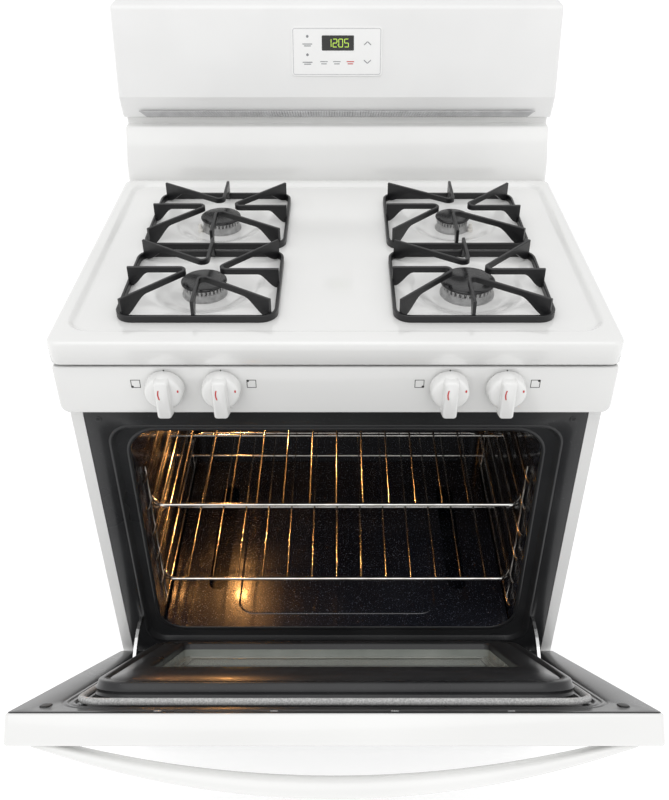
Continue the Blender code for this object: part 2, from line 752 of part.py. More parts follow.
def rack(name, level):
    """An oven rack: a rounded outer rod, wires from front to back and two bars across under them."""
    z = rack_level(level)
    slide = new_empty(f"{name}_slide", RANGE, (0, RACK_FRONT_Y, z))
    half = CAVITY_HALF - RACK_SIDE_GAP - RACK_ROD
    depth = CAVITY_REAR_Y - RACK_REAR_GAP - RACK_FRONT_Y
    outline = rounded_rectangle(half, depth / 2, RACK_CORNER, 3, centre=(0, depth / 2))
    rim = [(x, y, 0) for x, y in outline]
    grid = tube(name, rim, RACK_ROD, "chrome", slide, cyclic=True, resolution=1)
    wires = bmesh.new()
    reach = half - RACK_WIRE_MARGIN
    for index in range(RACK_WIRES):
        x = -reach + 2 * reach * index / (RACK_WIRES - 1)
        rod_mesh((x, 0, RACK_WIRE_UP), (x, depth, RACK_WIRE_UP), RACK_WIRE, 4, wires)
    under = RACK_WIRE_UP - RACK_WIRE - RACK_CROSS + RACK_WELD
    for y in (RACK_CROSS_SHARE * depth, depth - RACK_CROSS_FROM_REAR):
        rod_mesh((-half, y, under), (half, y, under), RACK_CROSS, 4, wires)
    combine(grid, as_cutter(node_from(f"{name}_wires", wires, "chrome", slide)), "UNION", use_self=True)


def oven_burners():
    rear = CAVITY_REAR_Y - OVEN_BURNER_REAR_GAP
    front = LINER_FRONT_Y + OVEN_BURNER_FRONT_GAP
    for name, z in (
        ("bake_burner", (LINER_BOTTOM_Z + OVEN_FLOOR_Z) / 2),
        ("broil_burner", CAVITY_TOP_Z - 2 * OVEN_BURNER_RADIUS),
    ):
        bm = rod_mesh((0, front, z), (0, rear, z), OVEN_BURNER_RADIUS, 12)
        node_from(name, bm, "aluminium", smooth=True)


def oven_lamp():
    """A domed glass cover on the rear wall, high on the left."""
    profile = (
        (0, LAMP_DEPTH),
        (LAMP_RADIUS * 0.55, LAMP_DEPTH * 0.9),
        (LAMP_RADIUS * 0.88, LAMP_DEPTH * 0.55),
        (LAMP_RADIUS, 0),
        (0, 0),
    )
    place = (-CAVITY_HALF + LAMP_FROM_SIDE, CAVITY_REAR_Y - GAP, CAVITY_TOP_Z - LAMP_BELOW_TOP)
    lamp = turned("oven_lamp", profile, "glass", None, place, steps=16)
    lamp.rotation_euler = (math.radians(90), 0, 0)


def temperature_sensor():
    x, z = CAVITY_HALF - SENSOR_FROM_SIDE, CAVITY_TOP_Z - SENSOR_BELOW_TOP
    rear = CAVITY_REAR_Y - GAP
    bm = rod_mesh((x, rear - SENSOR_LENGTH, z), (x, rear, z), SENSOR_RADIUS, 8)
    node_from("temperature_sensor", bm, "chrome", smooth=True)


# Cooktop and gas


def cooktop():
    low = COOKTOP_Z - LIP_HEIGHT
    rings = (
        (-HALF, HALF, 0, RISER_Y - GAP, low),
        (-HALF, HALF, 0, RISER_Y - GAP, COOKTOP_Z),
        (-WELL_HALF, WELL_HALF, RIM_FRONT, WELL_REAR_Y, COOKTOP_Z),
        (
            -WELL_HALF + RIM_SLOPE,
            WELL_HALF - RIM_SLOPE,
            RIM_FRONT + RIM_SLOPE,
            WELL_REAR_Y - RIM_SLOPE,
            WELL_Z,
        ),
    )
    sheet = node_from("cooktop", lofted(rings, upright), "white_enamel")
    thicken(sheet, SHEET)
    for name, centre in burner_places():
        radius = head_radius(name) + BASE_FLANGE + BURNER_HOLE_CLEARANCE
        start = centre + Vector((0, 0, WELL_Z - CUT_REACH))
        end = centre + Vector((0, 0, WELL_Z + CUT_REACH))
        combine(sheet, rod_cutter(f"burner_hole_{name}", start, end, radius, 24), "DIFFERENCE")


def head_radius(name):
    return CAP_RADIUS[name] - HEAD_INSET


def burner(name, centre):
    """A burner head in its opening, with a loose cap on top."""
    radius = head_radius(name)
    flange = radius + BASE_FLANGE
    floor = BURNER_Z
    head = (
        (0, floor + HEAD_HEIGHT),
        (radius, floor + HEAD_HEIGHT),
        (radius, floor),
        (flange, floor - BASE_FLANGE_SLOPE),
        (flange, floor - BASE_FLANGE_THICK),
        (THROAT_RADIUS, floor - BASE_FLANGE_THICK),
        (THROAT_RADIUS, floor - THROAT_LENGTH),
        (0, floor - THROAT_LENGTH),
    )
    turned(f"burner_head_{name}", head, "aluminium", None, centre)
    cap_radius = CAP_RADIUS[name]
    lift = new_empty(f"burner_cap_{name}_lift", RANGE, centre + Vector((0, 0, floor + HEAD_HEIGHT + GAP)))
    cap = (
        (0, CAP_THICK),
        (cap_radius - CAP_EDGE, CAP_THICK * 0.88),
        (cap_radius, CAP_THICK * 0.5),
        (cap_radius, 0),
        (0, 0),
    )
    turned(f"burner_cap_{name}", cap, "black_enamel", lift)


def leg_mesh(start, end, bm):
    """A flat finger on edge from start to end, whose outer end widens down to the frame bar."""
    along = Vector((end[0] - start[0], end[1] - start[1], 0))
    length = along.length
    along.normalize()
    across = Vector((-along.y, along.x, 0)) * FINGER_THICK / 2
    top = GRATE_TOP_Z_ABOVE + WELL_DEPTH
    under = top - FINGER_HEIGHT
    foot = GRATE_LIFT_GAP + FINGER_FOOT
    outline = (
        (0, top),
        (length, top),
        (length, foot),
        (length * FINGER_FLARE_END, foot),
        (length * FINGER_FLARE_START, under),
        (0, under),
    )
    base = Vector((start[0], start[1], 0))
    near, far = [], []
    for distance, z in outline:
        middle = base + along * distance + Vector((0, 0, z))
        near.append(bm.verts.new(middle - across))
        far.append(bm.verts.new(middle + across))
    bm.faces.new(near)
    bm.faces.new(far[::-1])
    for i in range(len(outline)):
        j = (i + 1) % len(outline)
        bm.faces.new((near[j], near[i], far[i], far[j]))


def bend_mesh(centre, radius, start_angle, end_angle, bm, steps=5):
    """The round end of a hairpin: an arc of the finger's section."""
    top = GRATE_TOP_Z_ABOVE + WELL_DEPTH
    under = top - FINGER_HEIGHT
    inner, outer = radius - FINGER_THICK / 2, radius + FINGER_THICK / 2
    rows = []
    for step in range(steps + 1):
        angle = start_angle + (end_angle - start_angle) * step / steps
        way = Vector((math.cos(angle), math.sin(angle), 0))
        middle = Vector((centre[0], centre[1], 0))
        section = ((inner, under), (outer, under), (outer, top), (inner, top))
        rows.append([bm.verts.new(middle + way * r + Vector((0, 0, z))) for r, z in section])
    for first, second in zip(rows, rows[1:]):
        for i in range(4):
            j = (i + 1) % 4
            bm.faces.new((first[i], first[j], second[j], second[i]))
    bm.faces.new(rows[0][::-1])
    bm.faces.new(rows[-1])


def hairpin(half_a, half_b, bm):
    """One V of bar: a leg from the corner, a turn near the burner and a leg to the middle of a side."""
    centre = Vector((-HAIRPIN_OFFSET, HAIRPIN_REACH))
    inset = GRATE_CORNER * (1 - math.sqrt(0.5))
    corner = Vector((-half_a + inset, half_b - inset))
    way = (corner - centre).normalized()
    start = centre + Vector((-way.y, way.x)) * HAIRPIN_RADIUS
    leg_mesh(start, corner, bm)
    middle = centre + Vector((HAIRPIN_RADIUS, 0))
    leg_mesh(middle, Vector((middle.x, half_b)), bm)
    start_angle = math.atan2(start.y - centre.y, start.x - centre.x)
    bend_mesh(centre, HAIRPIN_RADIUS, start_angle - BEND_OVERLAP, BEND_OVERLAP, bm)


def grate(name, centre):
    """A rounded frame of flat bar and four hairpins, each a quarter turn from the last."""
    lift = new_empty(f"grate_{name}_lift", RANGE, centre + Vector((0, 0, WELL_Z)))
    half_a = GRATE_WIDTH / 2 - FINGER_THICK / 2
    half_b = GRATE_DEPTH / 2 - FINGER_THICK / 2
    outer = rounded_rectangle(half_a + FINGER_THICK / 2, half_b + FINGER_THICK / 2, GRATE_CORNER, 3)
    inner = rounded_rectangle(
        half_a - FINGER_THICK / 2, half_b - FINGER_THICK / 2, GRATE_CORNER - FINGER_THICK, 3
    )
    frame = node_from(
        f"grate_{name}",
        ring_outline(outer, inner, GRATE_LIFT_GAP, GRATE_LIFT_GAP + FRAME_BAR_HEIGHT),
        "black_enamel",
        lift,
    )
    fingers = bmesh.new()
    for quarter in range(4):
        halves = (half_a, half_b) if quarter % 2 == 0 else (half_b, half_a)
        before = set(fingers.verts)
        hairpin(*halves, fingers)
        made = [vert for vert in fingers.verts if vert not in before]
        turn = Matrix.Rotation(math.radians(-90 * quarter), 4, "Z")
        bmesh.ops.transform(fingers, matrix=turn, verts=made)
    bmesh.ops.recalc_face_normals(fingers, faces=fingers.faces)
    others = as_cutter(node_from(f"grate_fingers_{name}", fingers, "black_enamel", lift))
    combine(frame, others, "UNION", use_self=True)


def ring_outline(outer, inner, low, high):
    """A flat frame between two outlines that have the same number of points."""
    bm = bmesh.new()
    rings = []
    for outline, z in ((outer, low), (outer, high), (inner, high), (inner, low)):
        rings.append([bm.verts.new((x, y, z)) for x, y in outline])
    count = len(outer)
    for first, second in zip(rings, rings[1:] + rings[:1]):
        for i in range(count):
            j = (i + 1) % count
            bm.faces.new((first[i], first[j], second[j], second[i]))
    return bm


def knob_panel():
    bm = box_mesh(
        (-KNOB_PANEL_HALF, KNOB_PANEL_FRONT_Y, KNOB_PANEL_BOTTOM_Z),
        (KNOB_PANEL_HALF, BODY_FRONT_Y - 2 * GAP, KNOB_PANEL_TOP_Z),
    )
    remove_faces(bm, Vector((0, 1, 0)))
    panel = node_from("knob_panel", bm, "white_enamel")
    thicken(panel, SHEET)
    for number, x in knob_places():
        start = (x, KNOB_PANEL_FRONT_Y - CUT_REACH, KNOB_Z)
        end = (x, KNOB_PANEL_FRONT_Y + CUT_REACH, KNOB_Z)
        radius = STEM_RADIUS + STEM_HOLE_CLEARANCE
        combine(panel, rod_cutter(f"stem_hole_{number}", start, end, radius, 12), "DIFFERENCE")


def bent_route(corners, radius, steps=3):
    """Straight runs between corners, each inner corner rounded from a radius before it to one after."""
    corners = [Vector(corner) for corner in corners]
    points = [corners[0]]
    for before, corner, after in zip(corners, corners[1:], corners[2:]):
        start = corner + (before - corner).normalized() * radius
        end = corner + (after - corner).normalized() * radius
        for step in range(steps + 1):
            share = step / steps
            points.append(start.lerp(corner, share).lerp(corner.lerp(end, share), share))
    points.append(corners[-1])
    return points


def supply_route():
    """From the manifold's right end, round to the rear and down to the gas inlet."""
    right = BODY_HALF - SUPPLY_FROM_SIDE
    back = BODY_REAR_Y - SUPPLY_FROM_REAR
    inlet_z = KNOB_Z - SUPPLY_DROP
    corners = (
        (right - SUPPLY_JOIN, MANIFOLD_Y, KNOB_Z),
        (right, MANIFOLD_Y, KNOB_Z),
        (right, back, KNOB_Z),
        (right, back, inlet_z),
        (right, BODY_REAR_Y + SUPPLY_END, inlet_z),
    )
    return bent_route(corners, SUPPLY_BEND)


def gas_manifold():
    """The pipe behind the knobs with its four valve bodies, and the supply pipe to the rear."""
    manifold = tube("gas_manifold", supply_route(), SUPPLY_RADIUS, "brass")
    end = KNOB_PANEL_HALF - MANIFOLD_END_MARGIN
    pieces = rod_mesh((-end, MANIFOLD_Y, KNOB_Z), (end, MANIFOLD_Y, KNOB_Z), MANIFOLD_RADIUS, 12)
    bores = bmesh.new()
    for _, x in knob_places():
        rod_mesh((x, VALVE_FRONT_Y, KNOB_Z), (x, MANIFOLD_Y, KNOB_Z), VALVE_RADIUS, 12, pieces)
        start = (x, VALVE_FRONT_Y - CUT_REACH, KNOB_Z)
        stop = (x, VALVE_FRONT_Y + VALVE_BORE_DEPTH, KNOB_Z)
        rod_mesh(start, stop, STEM_RADIUS + STEM_CLEARANCE, 12, bores)
    combine(manifold, as_cutter(node_from("valve_bodies", pieces, "brass")), "UNION", use_self=True)
    combine(manifold, as_cutter(node_from("valve_bores", bores, "brass")), "DIFFERENCE")


def knob(number, x):
    """A knob that pushes in on its stem and turns about it. Its local z points out of the panel."""
    push = new_empty(f"knob_{number}_push", RANGE, (x, KNOB_PANEL_FRONT_Y, KNOB_Z))
    push.rotation_euler = (math.radians(90), 0, 0)
    stem_end = KNOB_CLEARANCE + KNOB_BORE_DEPTH - 2 * GAP
    stem_start = -(VALVE_FRONT_Y - KNOB_PANEL_FRONT_Y) - VALVE_BORE_DEPTH + PUSH_TRAVEL + 2 * GAP
    stem = rod_mesh((0, 0, stem_start), (0, 0, stem_end), STEM_RADIUS, 12)
    node_from(f"valve_stem_{number}", stem, "brass", push, smooth=True)
    face = KNOB_CLEARANCE + KNOB_SKIRT
    bore = STEM_RADIUS + STEM_CLEARANCE
    profile = (
        (0, face),
        (KNOB_RADIUS - 0.003, face),
        (KNOB_RADIUS, face - 0.003),
        (KNOB_RADIUS, KNOB_CLEARANCE),
        (bore, KNOB_CLEARANCE),
        (bore, KNOB_CLEARANCE + KNOB_BORE_DEPTH),
        (0, KNOB_CLEARANCE + KNOB_BORE_DEPTH),
    )
    body = turned(f"knob_{number}", profile, "white_plastic", push, steps=24)
    low = (-GRIP_WIDTH / 2, -GRIP_TAIL, face - GRIP_SUNK)
    grip = box_mesh(low, (GRIP_WIDTH / 2, GRIP_HEAD, face + GRIP_RISE))
    combine(body, as_cutter(node_from(f"knob_grip_{number}", grip, "white_plastic", push)), "UNION")


# Backguard


def backguard_riser():
    low = COOKTOP_Z - LIP_HEIGHT + GAP
    neck_half = BODY_HALF - NECK_INSET
    neck_y = RISER_Y + RISER_LEAN + NECK_INSET
    neck_rear = RISER_REAR_Y - NECK_REAR_INSET
    rings = (
        (-BODY_HALF, BODY_HALF, RISER_Y, RISER_REAR_Y, low),
        (-BODY_HALF, BODY_HALF, RISER_Y, RISER_REAR_Y, COOKTOP_Z),
        (-BODY_HALF, BODY_HALF, RISER_Y + RISER_LEAN, RISER_REAR_Y, RISER_TOP_Z),
        (-neck_half, neck_half, neck_y, neck_rear, RISER_TOP_Z),
        (-neck_half, neck_half, neck_y, neck_rear, RISER_TOP_Z + NECK_HEIGHT),
    )
    thicken(node_from("backguard_riser", lofted(rings, upright), "white_enamel"), SHEET)


def console_shell():
    rings = (
        (-HALF, HALF, CONSOLE_BOTTOM_Y, CONSOLE_REAR_Y, CONSOLE_BOTTOM_Z),
        (-HALF, HALF, CONSOLE_KNEE_Y, CONSOLE_REAR_Y, CONSOLE_KNEE_Z),
        (-HALF, HALF, CONSOLE_TOP_Y, CONSOLE_REAR_Y, CONSOLE_TOP_Z),
    )
    thicken(node_from("console_shell", lofted(rings, upright), "white_plastic"), CONSOLE_WALL)


def console_face():
    """An empty on the console's front face at the keypad's middle. Its local z points out of the face."""
    lean = math.atan2(CONSOLE_TOP_Y - CONSOLE_KNEE_Y, CONSOLE_TOP_Z - CONSOLE_KNEE_Z)
    along = (KEYPAD_Z - CONSOLE_KNEE_Z) / (CONSOLE_TOP_Z - CONSOLE_KNEE_Z)
    y = CONSOLE_KNEE_Y + along * (CONSOLE_TOP_Y - CONSOLE_KNEE_Y)
    face = new_empty("console_face", RANGE, (0, y, KEYPAD_Z))
    face.rotation_euler = (math.radians(90) - lean, 0, 0)
    return face


def keypad_and_display():
    face = console_face()
    outline = rounded_rectangle(KEYPAD_WIDTH / 2, KEYPAD_HEIGHT / 2, KEYPAD_CORNER, 3)
    pad = flat_outline(outline, GAP, GAP + KEYPAD_THICK)
    node_from("keypad", pad, "white_plastic", face)
    base = KEYPAD_THICK + 2 * GAP
    low = (-DISPLAY_WIDTH / 2, DISPLAY_UP - DISPLAY_HEIGHT / 2, base)
    high = (DISPLAY_WIDTH / 2, DISPLAY_UP + DISPLAY_HEIGHT / 2, base + DISPLAY_THICK)
    box_node("display", low, high, "black_plastic", face)


# Door, built closed about its pivot: local z runs up the door and local y into the oven


def door_frame():
    """The door's empty at its pivot, turned to where the door rests half open."""
    door = new_empty("door_pivot", RANGE, (0, DOOR_PIVOT_Y, DOOR_PIVOT_Z))
    door.rotation_euler = (DOOR_LEAN, 0, 0)
    return door


def hinge_notch(piece, door, name):
    """Room in a door sheet for the bracket that carries the pin, through the whole swing."""
    for side, sign in both_sides():
        inner = HINGE_X + HINGE_ARM_THICK / 2 + BRACKET_GAP
        near = sign * (inner - NOTCH_SIDE_CLEARANCE)
        far = sign * (inner + BRACKET_THICK + NOTCH_SIDE_CLEARANCE)
        tall = BRACKET_HALF_HEIGHT + NOTCH_END_CLEARANCE
        low = (min(near, far), -tall, -DOOR_BELOW_PIVOT - CUT_REACH)
        high = (max(near, far), DOOR_HALF_THICK + CUT_REACH, tall)
        combine(piece, box_cutter(f"{name}_notch_{side}", low, high, door), "DIFFERENCE")


def door_skin(door):
    """The white outer pan with its edges folded round to the back, and a window in its face."""
    half = DOOR_HALF_WIDTH
    lip = half - DOOR_LIP
    low, high = -DOOR_BELOW_PIVOT, DOOR_TOP
    rings = (
        (-lip, lip, low + DOOR_LIP_ENDS, high - DOOR_LIP_ENDS, -DOOR_HALF_THICK),
        (-half, half, low, high, -DOOR_HALF_THICK),
        (-half, half, low, high, DOOR_HALF_THICK),
    )
    skin = node_from("door_skin", lofted(rings, facing_front), "white_enamel", door)
    thicken(skin, DOOR_SHEET)
    window = box_cutter(
        "outer_window",
        (-HALF + OUTER_WINDOW_SIDE, -DOOR_HALF_THICK - CUT_REACH, OUTER_WINDOW_BOTTOM),
        (HALF - OUTER_WINDOW_SIDE, 0, DOOR_TOP - OUTER_WINDOW_TOP),
        door,
    )
    combine(skin, window, "DIFFERENCE")
    hinge_notch(skin, door, "skin")
    return lip


def plateau_rings(lip):
    """The inner panel from its rim up to the plateau and down into the window."""
    side = CAVITY_HALF - PLATEAU_SIDE_GAP
    low = OPENING_BOTTOM_Z + PLATEAU_BOTTOM_GAP - DOOR_PIVOT_Z
    high = CAVITY_TOP_Z - PLATEAU_TOP_GAP - DOOR_PIVOT_Z
    window = side - WINDOW_SIDE
    window_low, window_high = low + WINDOW_BOTTOM, high - WINDOW_TOP
    rim = lip - INNER_PANEL_GAP
    back = DOOR_HALF_THICK
    face = back + PLATEAU_DEPTH
    slope = PLATEAU_SLOPE
    ends = DOOR_LIP_ENDS + INNER_PANEL_GAP
    tilt = WINDOW_SLOPE
    recess = face - WINDOW_RECESS
    return (
        (-rim, rim, -DOOR_BELOW_PIVOT + ends, DOOR_TOP - ends, back),
        (-side, side, low, high, back),
        (-side + slope, side - slope, low + slope, high - slope, face),
        (-window, window, window_low, window_high, face),
        (-window + tilt, window - tilt, window_low + tilt, window_high - tilt, recess),
    )


def door_inner_panel(door, rings):
    panel = node_from(
        "door_inner_panel", lofted(rings, facing_rear, last_cap=False), "dark_enamel", door
    )
    thicken(panel, DOOR_SHEET)
    hinge_notch(panel, door, "panel")
    rise = math.sqrt(HINGE_ARC_RADIUS**2 - DOOR_HALF_THICK**2)
    wide = HINGE_ARM_THICK / 2 + ARM_SLOT_SIDE_CLEARANCE
    reach = Vector((wide, CUT_REACH, HINGE_ARC_HALF_WIDTH + ARM_SLOT_END_CLEARANCE))
    for side, sign in both_sides():
        middle = Vector((sign * HINGE_X, DOOR_HALF_THICK, rise))
        combine(panel, box_cutter(f"arm_slot_{side}", middle - reach, middle + reach, door), "DIFFERENCE")


def door_glass(door, rings):
    """The inner pane lies behind the inner panel's window and the outer pane behind the skin's."""
    _, half, low, high, face = rings[-1]
    rear = face - DOOR_SHEET - 2 * GAP
    grow = GLASS_OVERLAP
    box_node(
        "door_glass_inner",
        (-half - grow, rear - GLASS_THICK, low - grow),
        (half + grow, rear, high + grow),
        "glass",
        door,
    )
    front = -DOOR_HALF_THICK + DOOR_SHEET + GAP
    outer = HALF - OUTER_WINDOW_SIDE + grow
    box_node(
        "door_glass_outer",
        (-outer, front, OUTER_WINDOW_BOTTOM - grow),
        (outer, front + GLASS_THICK, DOOR_TOP - OUTER_WINDOW_TOP + grow),
        "glass",
        door,
    )


def door_gasket(door):
    """A round woven tube on the inner panel, opposite the seat in the front frame."""
    half = CAVITY_HALF + SEAT_WIDTH / 2 - GASKET_SIDE_INSET
    low = OPENING_BOTTOM_Z - SEAT_BOTTOM / 2 - DOOR_PIVOT_Z
    high = CAVITY_TOP_Z + SEAT_HEIGHT / 2 - GASKET_TOP_INSET - DOOR_PIVOT_Z
    middle = (low + high) / 2
    outline = rounded_rectangle(half, (high - low) / 2, GASKET_CORNER, 4, centre=(0, middle))
    y = DOOR_HALF_THICK + GASKET_RADIUS + GAP
    tube("door_gasket", [(x, y, z) for x, z in outline], GASKET_RADIUS, "woven_glass", door, True)


def door_handle(door):
    """A bow across the top of the door: a flat crescent on its edge with rounded edges."""
    foot = DOOR_HALF_THICK + GAP
    outer_rise = HANDLE_OUTER - foot
    inner_rise = outer_rise - HANDLE_THICK
    span = HALF - HANDLE_END_MARGIN
    inside = span - HANDLE_FOOT
    steps = 14
    outline = []
    for step in range(steps + 1):
        share = -1 + 2 * step / steps
        outline.append((span * share, -foot - outer_rise * (1 - share * share)))
    for step in range(steps + 1):
        share = 1 - 2 * step / steps
        outline.append((inside * share, -foot - inner_rise * (1 - share * share)))
    low, high = HANDLE_CENTRE - HANDLE_HALF_HEIGHT, HANDLE_CENTRE + HANDLE_HALF_HEIGHT
    node_from("door_handle", flat_outline(outline, low, high), "white_plastic", door)


def arc_plate(radius, half_width, start, end, low, high, steps):
    """A flat arc in the y-z plane, between two values of x."""
    outline = []
    for edge, angles in ((radius + half_width, (start, end)), (radius - half_width, (end, start))):
        for step in range(steps + 1):
            angle = math.radians(angles[0] + (angles[1] - angles[0]) * step / steps)
            outline.append((edge * math.cos(angle), edge * math.sin(angle)))
    bm = flat_outline(outline, low, high)
    # The outline's own axes become y and z, and its height becomes x.
    stand = Matrix(((0, 0, 1), (1, 0, 0), (0, 1, 0))).to_4x4()
    bmesh.ops.transform(bm, matrix=stand, verts=bm.verts)
    return bm


def hinge_arm(door, side, sign):
    """An eye on the pin, a spine inside the door and an arc about the pin that runs into the body."""
    low, high = sign * HINGE_X - HINGE_ARM_THICK / 2, sign * HINGE_X + HINGE_ARM_THICK / 2
    arc = arc_plate(
        HINGE_ARC_RADIUS, HINGE_ARC_HALF_WIDTH, HINGE_ARC_END, HINGE_ARC_START, low, high, 12
    )
    arm = node_from(f"door_hinge_arm_{side}", arc, "chrome", door)
    spine = box_mesh((low, -HINGE_SPINE_OUTER, 0), (high, HINGE_SPINE_INNER, HINGE_ARC_RADIUS))
    combine(arm, as_cutter(node_from(f"hinge_spine_{side}", spine, "chrome", door)), "UNION")
    eye = rod_mesh((low, 0, 0), (high, 0, 0), HINGE_EYE_RADIUS, 16)
    combine(arm, as_cutter(node_from(f"hinge_eye_{side}", eye, "chrome", door)), "UNION")
    radius = HINGE_PIN_RADIUS + HINGE_PIN_CLEARANCE
    start, end = (low - CUT_REACH, 0, 0), (high + CUT_REACH, 0, 0)
    hole = rod_cutter(f"hinge_eye_hole_{side}", start, end, radius, 16, door)
    combine(arm, hole, "DIFFERENCE")


def hinge_bracket(side, sign):
    """A plate on the front frame with the pin that the door's arm turns on."""
    near = sign * (HINGE_X + HINGE_ARM_THICK / 2 + BRACKET_GAP)
    far = near + sign * BRACKET_THICK
    low = (min(near, far), DOOR_PIVOT_Y - BRACKET_HALF_HEIGHT, DOOR_PIVOT_Z - BRACKET_HALF_HEIGHT)
    high = (max(near, far), BODY_FRONT_Y - GAP, DOOR_PIVOT_Z + BRACKET_HALF_HEIGHT)
    bracket = box_node(f"hinge_bracket_{side}", low, high, "galvanised")
    middle = (near + far) / 2
    end = sign * (HINGE_X - HINGE_ARM_THICK / 2 - HINGE_PIN_SPARE)
    start = (middle, DOOR_PIVOT_Y, DOOR_PIVOT_Z)
    pin = rod_mesh(start, (end, DOOR_PIVOT_Y, DOOR_PIVOT_Z), HINGE_PIN_RADIUS, 16)
    combine(bracket, as_cutter(node_from(f"hinge_pin_{side}", pin, "galvanised")), "UNION")


# Drawer and rear inlet


def drawer():
    slide = new_empty("drawer_slide", RANGE, (0, DRAWER_FRONT_Y, DRAWER_BOTTOM_Z))
    half = DOOR_HALF_WIDTH
    depth = BODY_FRONT_Y - 3 * GAP - DRAWER_FRONT_Y
    bm = box_mesh((-half, 0, 0), (half, depth, DRAWER_TOP_Z - DRAWER_BOTTOM_Z))
    remove_faces(bm, Vector((0, 1, 0)))
    thicken(node_from("drawer_front", bm, "white_enamel", slide), SHEET)
    side = BODY_HALF - DRAWER_SIDE_GAP
    start = SHEET + GAP
    end = BODY_REAR_Y - DRAWER_REAR_GAP - DRAWER_FRONT_Y
    low, high = DRAWER_BOX_BOTTOM_Z - DRAWER_BOTTOM_Z, DRAWER_BOX_TOP_Z - DRAWER_BOTTOM_Z
    tray = box_mesh((-side, start, low), (side, end, high))
    remove_faces(tray, Vector((0, 0, 1)))
    thicken(node_from("drawer_box", tray, "galvanised", slide), SHEET)


def cord_inlet():
    """A ribbed gland on the rear panel where a power cord enters."""
    profile = (
        (0, INLET_LENGTH),
        (INLET_RADIUS * 0.55, INLET_LENGTH),
        (INLET_RADIUS * 0.7, INLET_LENGTH * 0.4),
        (INLET_RADIUS, INLET_LENGTH * 0.35),
        (INLET_RADIUS, 0),
        (0, 0),
    )
    place = (-BODY_HALF + INLET_FROM_SIDE, BODY_REAR_Y + SHEET + 2 * GAP, INLET_Z)
    gland = turned("cord_inlet", profile, "black_plastic", None, place, steps=16)
    gland.rotation_euler = (math.radians(-90), 0, 0)


def build():
    for side, sign in both_sides():
        side_panel(side, sign)
        rack_support(side, sign)
        hinge_bracket(side, sign)
    rear_panel()
    base_pan()
    levelling_legs()
    front_frame()
    oven_liner()
    oven_insulation()
    oven_floor()
    oven_burners()
    oven_lamp()
    temperature_sensor()
    rack("rack_lower", LOWER_LEVEL)
    rack("rack_upper", UPPER_LEVEL)
    cooktop()
    for name, centre in burner_places():
        burner(name, centre)
        grate(name, centre)
    knob_panel()
    gas_manifold()
    for number, x in knob_places():
        knob(number, x)
    backguard_riser()
    console_shell()
    keypad_and_display()
    door = door_frame()
    rings = plateau_rings(door_skin(door))
    door_inner_panel(door, rings)
    door_glass(door, rings)
    door_gasket(door)
    door_handle(door)
    for side, sign in both_sides():
        hinge_arm(door, side, sign)
    drawer()
    cord_inlet()


build()
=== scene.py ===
import json
import math

import bmesh
import bpy
import numpy as np
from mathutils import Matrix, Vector


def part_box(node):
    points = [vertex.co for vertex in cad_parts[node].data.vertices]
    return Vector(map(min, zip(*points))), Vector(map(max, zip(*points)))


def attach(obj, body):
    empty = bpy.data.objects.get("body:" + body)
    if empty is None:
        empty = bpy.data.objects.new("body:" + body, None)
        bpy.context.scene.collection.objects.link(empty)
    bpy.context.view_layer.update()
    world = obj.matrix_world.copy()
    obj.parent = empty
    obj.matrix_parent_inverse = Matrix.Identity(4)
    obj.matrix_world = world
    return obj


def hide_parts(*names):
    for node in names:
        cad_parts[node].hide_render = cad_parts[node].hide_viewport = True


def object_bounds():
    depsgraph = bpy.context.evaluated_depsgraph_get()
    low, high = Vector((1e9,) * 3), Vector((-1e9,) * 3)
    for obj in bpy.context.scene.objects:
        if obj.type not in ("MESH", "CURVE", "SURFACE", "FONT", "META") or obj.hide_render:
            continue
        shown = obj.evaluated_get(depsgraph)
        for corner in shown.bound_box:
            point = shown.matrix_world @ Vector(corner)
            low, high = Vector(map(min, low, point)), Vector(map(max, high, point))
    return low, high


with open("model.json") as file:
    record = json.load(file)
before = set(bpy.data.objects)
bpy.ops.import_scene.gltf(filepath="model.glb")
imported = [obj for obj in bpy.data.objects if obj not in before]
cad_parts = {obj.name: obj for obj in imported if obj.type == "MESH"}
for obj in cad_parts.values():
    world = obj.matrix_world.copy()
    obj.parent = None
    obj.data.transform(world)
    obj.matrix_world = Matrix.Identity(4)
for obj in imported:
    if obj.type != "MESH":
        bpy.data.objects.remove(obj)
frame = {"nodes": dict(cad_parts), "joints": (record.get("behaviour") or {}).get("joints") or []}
cadLow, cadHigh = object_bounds()
print("frame loaded:", len(frame["nodes"]), "nodes")


def loft(rings, capFirst=False, capLast=False, wrap=False):
    # rings is levels x points x 3; each level is joined to the next all the way round
    rings = np.asarray(rings, float)
    levels, count = rings.shape[:2]
    step = np.arange(levels if wrap else levels - 1)[:, None]
    point = np.arange(count)[None, :]
    here, after = step * count, (step + 1) % levels * count
    turn = (point + 1) % count
    quads = np.stack([here + point, here + turn, after + turn, after + point], -1).reshape(-1, 4)
    faces = quads.tolist()
    if capFirst:
        faces.append(list(range(count))[::-1])
    if capLast:
        faces.append(list(range((levels - 1) * count, levels * count)))
    return rings.reshape(-1, 3), faces


def sheetOf(points):
    # points is rows x columns x 3; an open sheet of quads
    rows, columns = points.shape[:2]
    row, column = np.meshgrid(np.arange(rows - 1), np.arange(columns - 1), indexing="ij")
    first = (row * columns + column).ravel()
    quads = np.stack([first, first + 1, first + columns + 1, first + columns], -1)
    return points.reshape(-1, 3), quads.tolist()


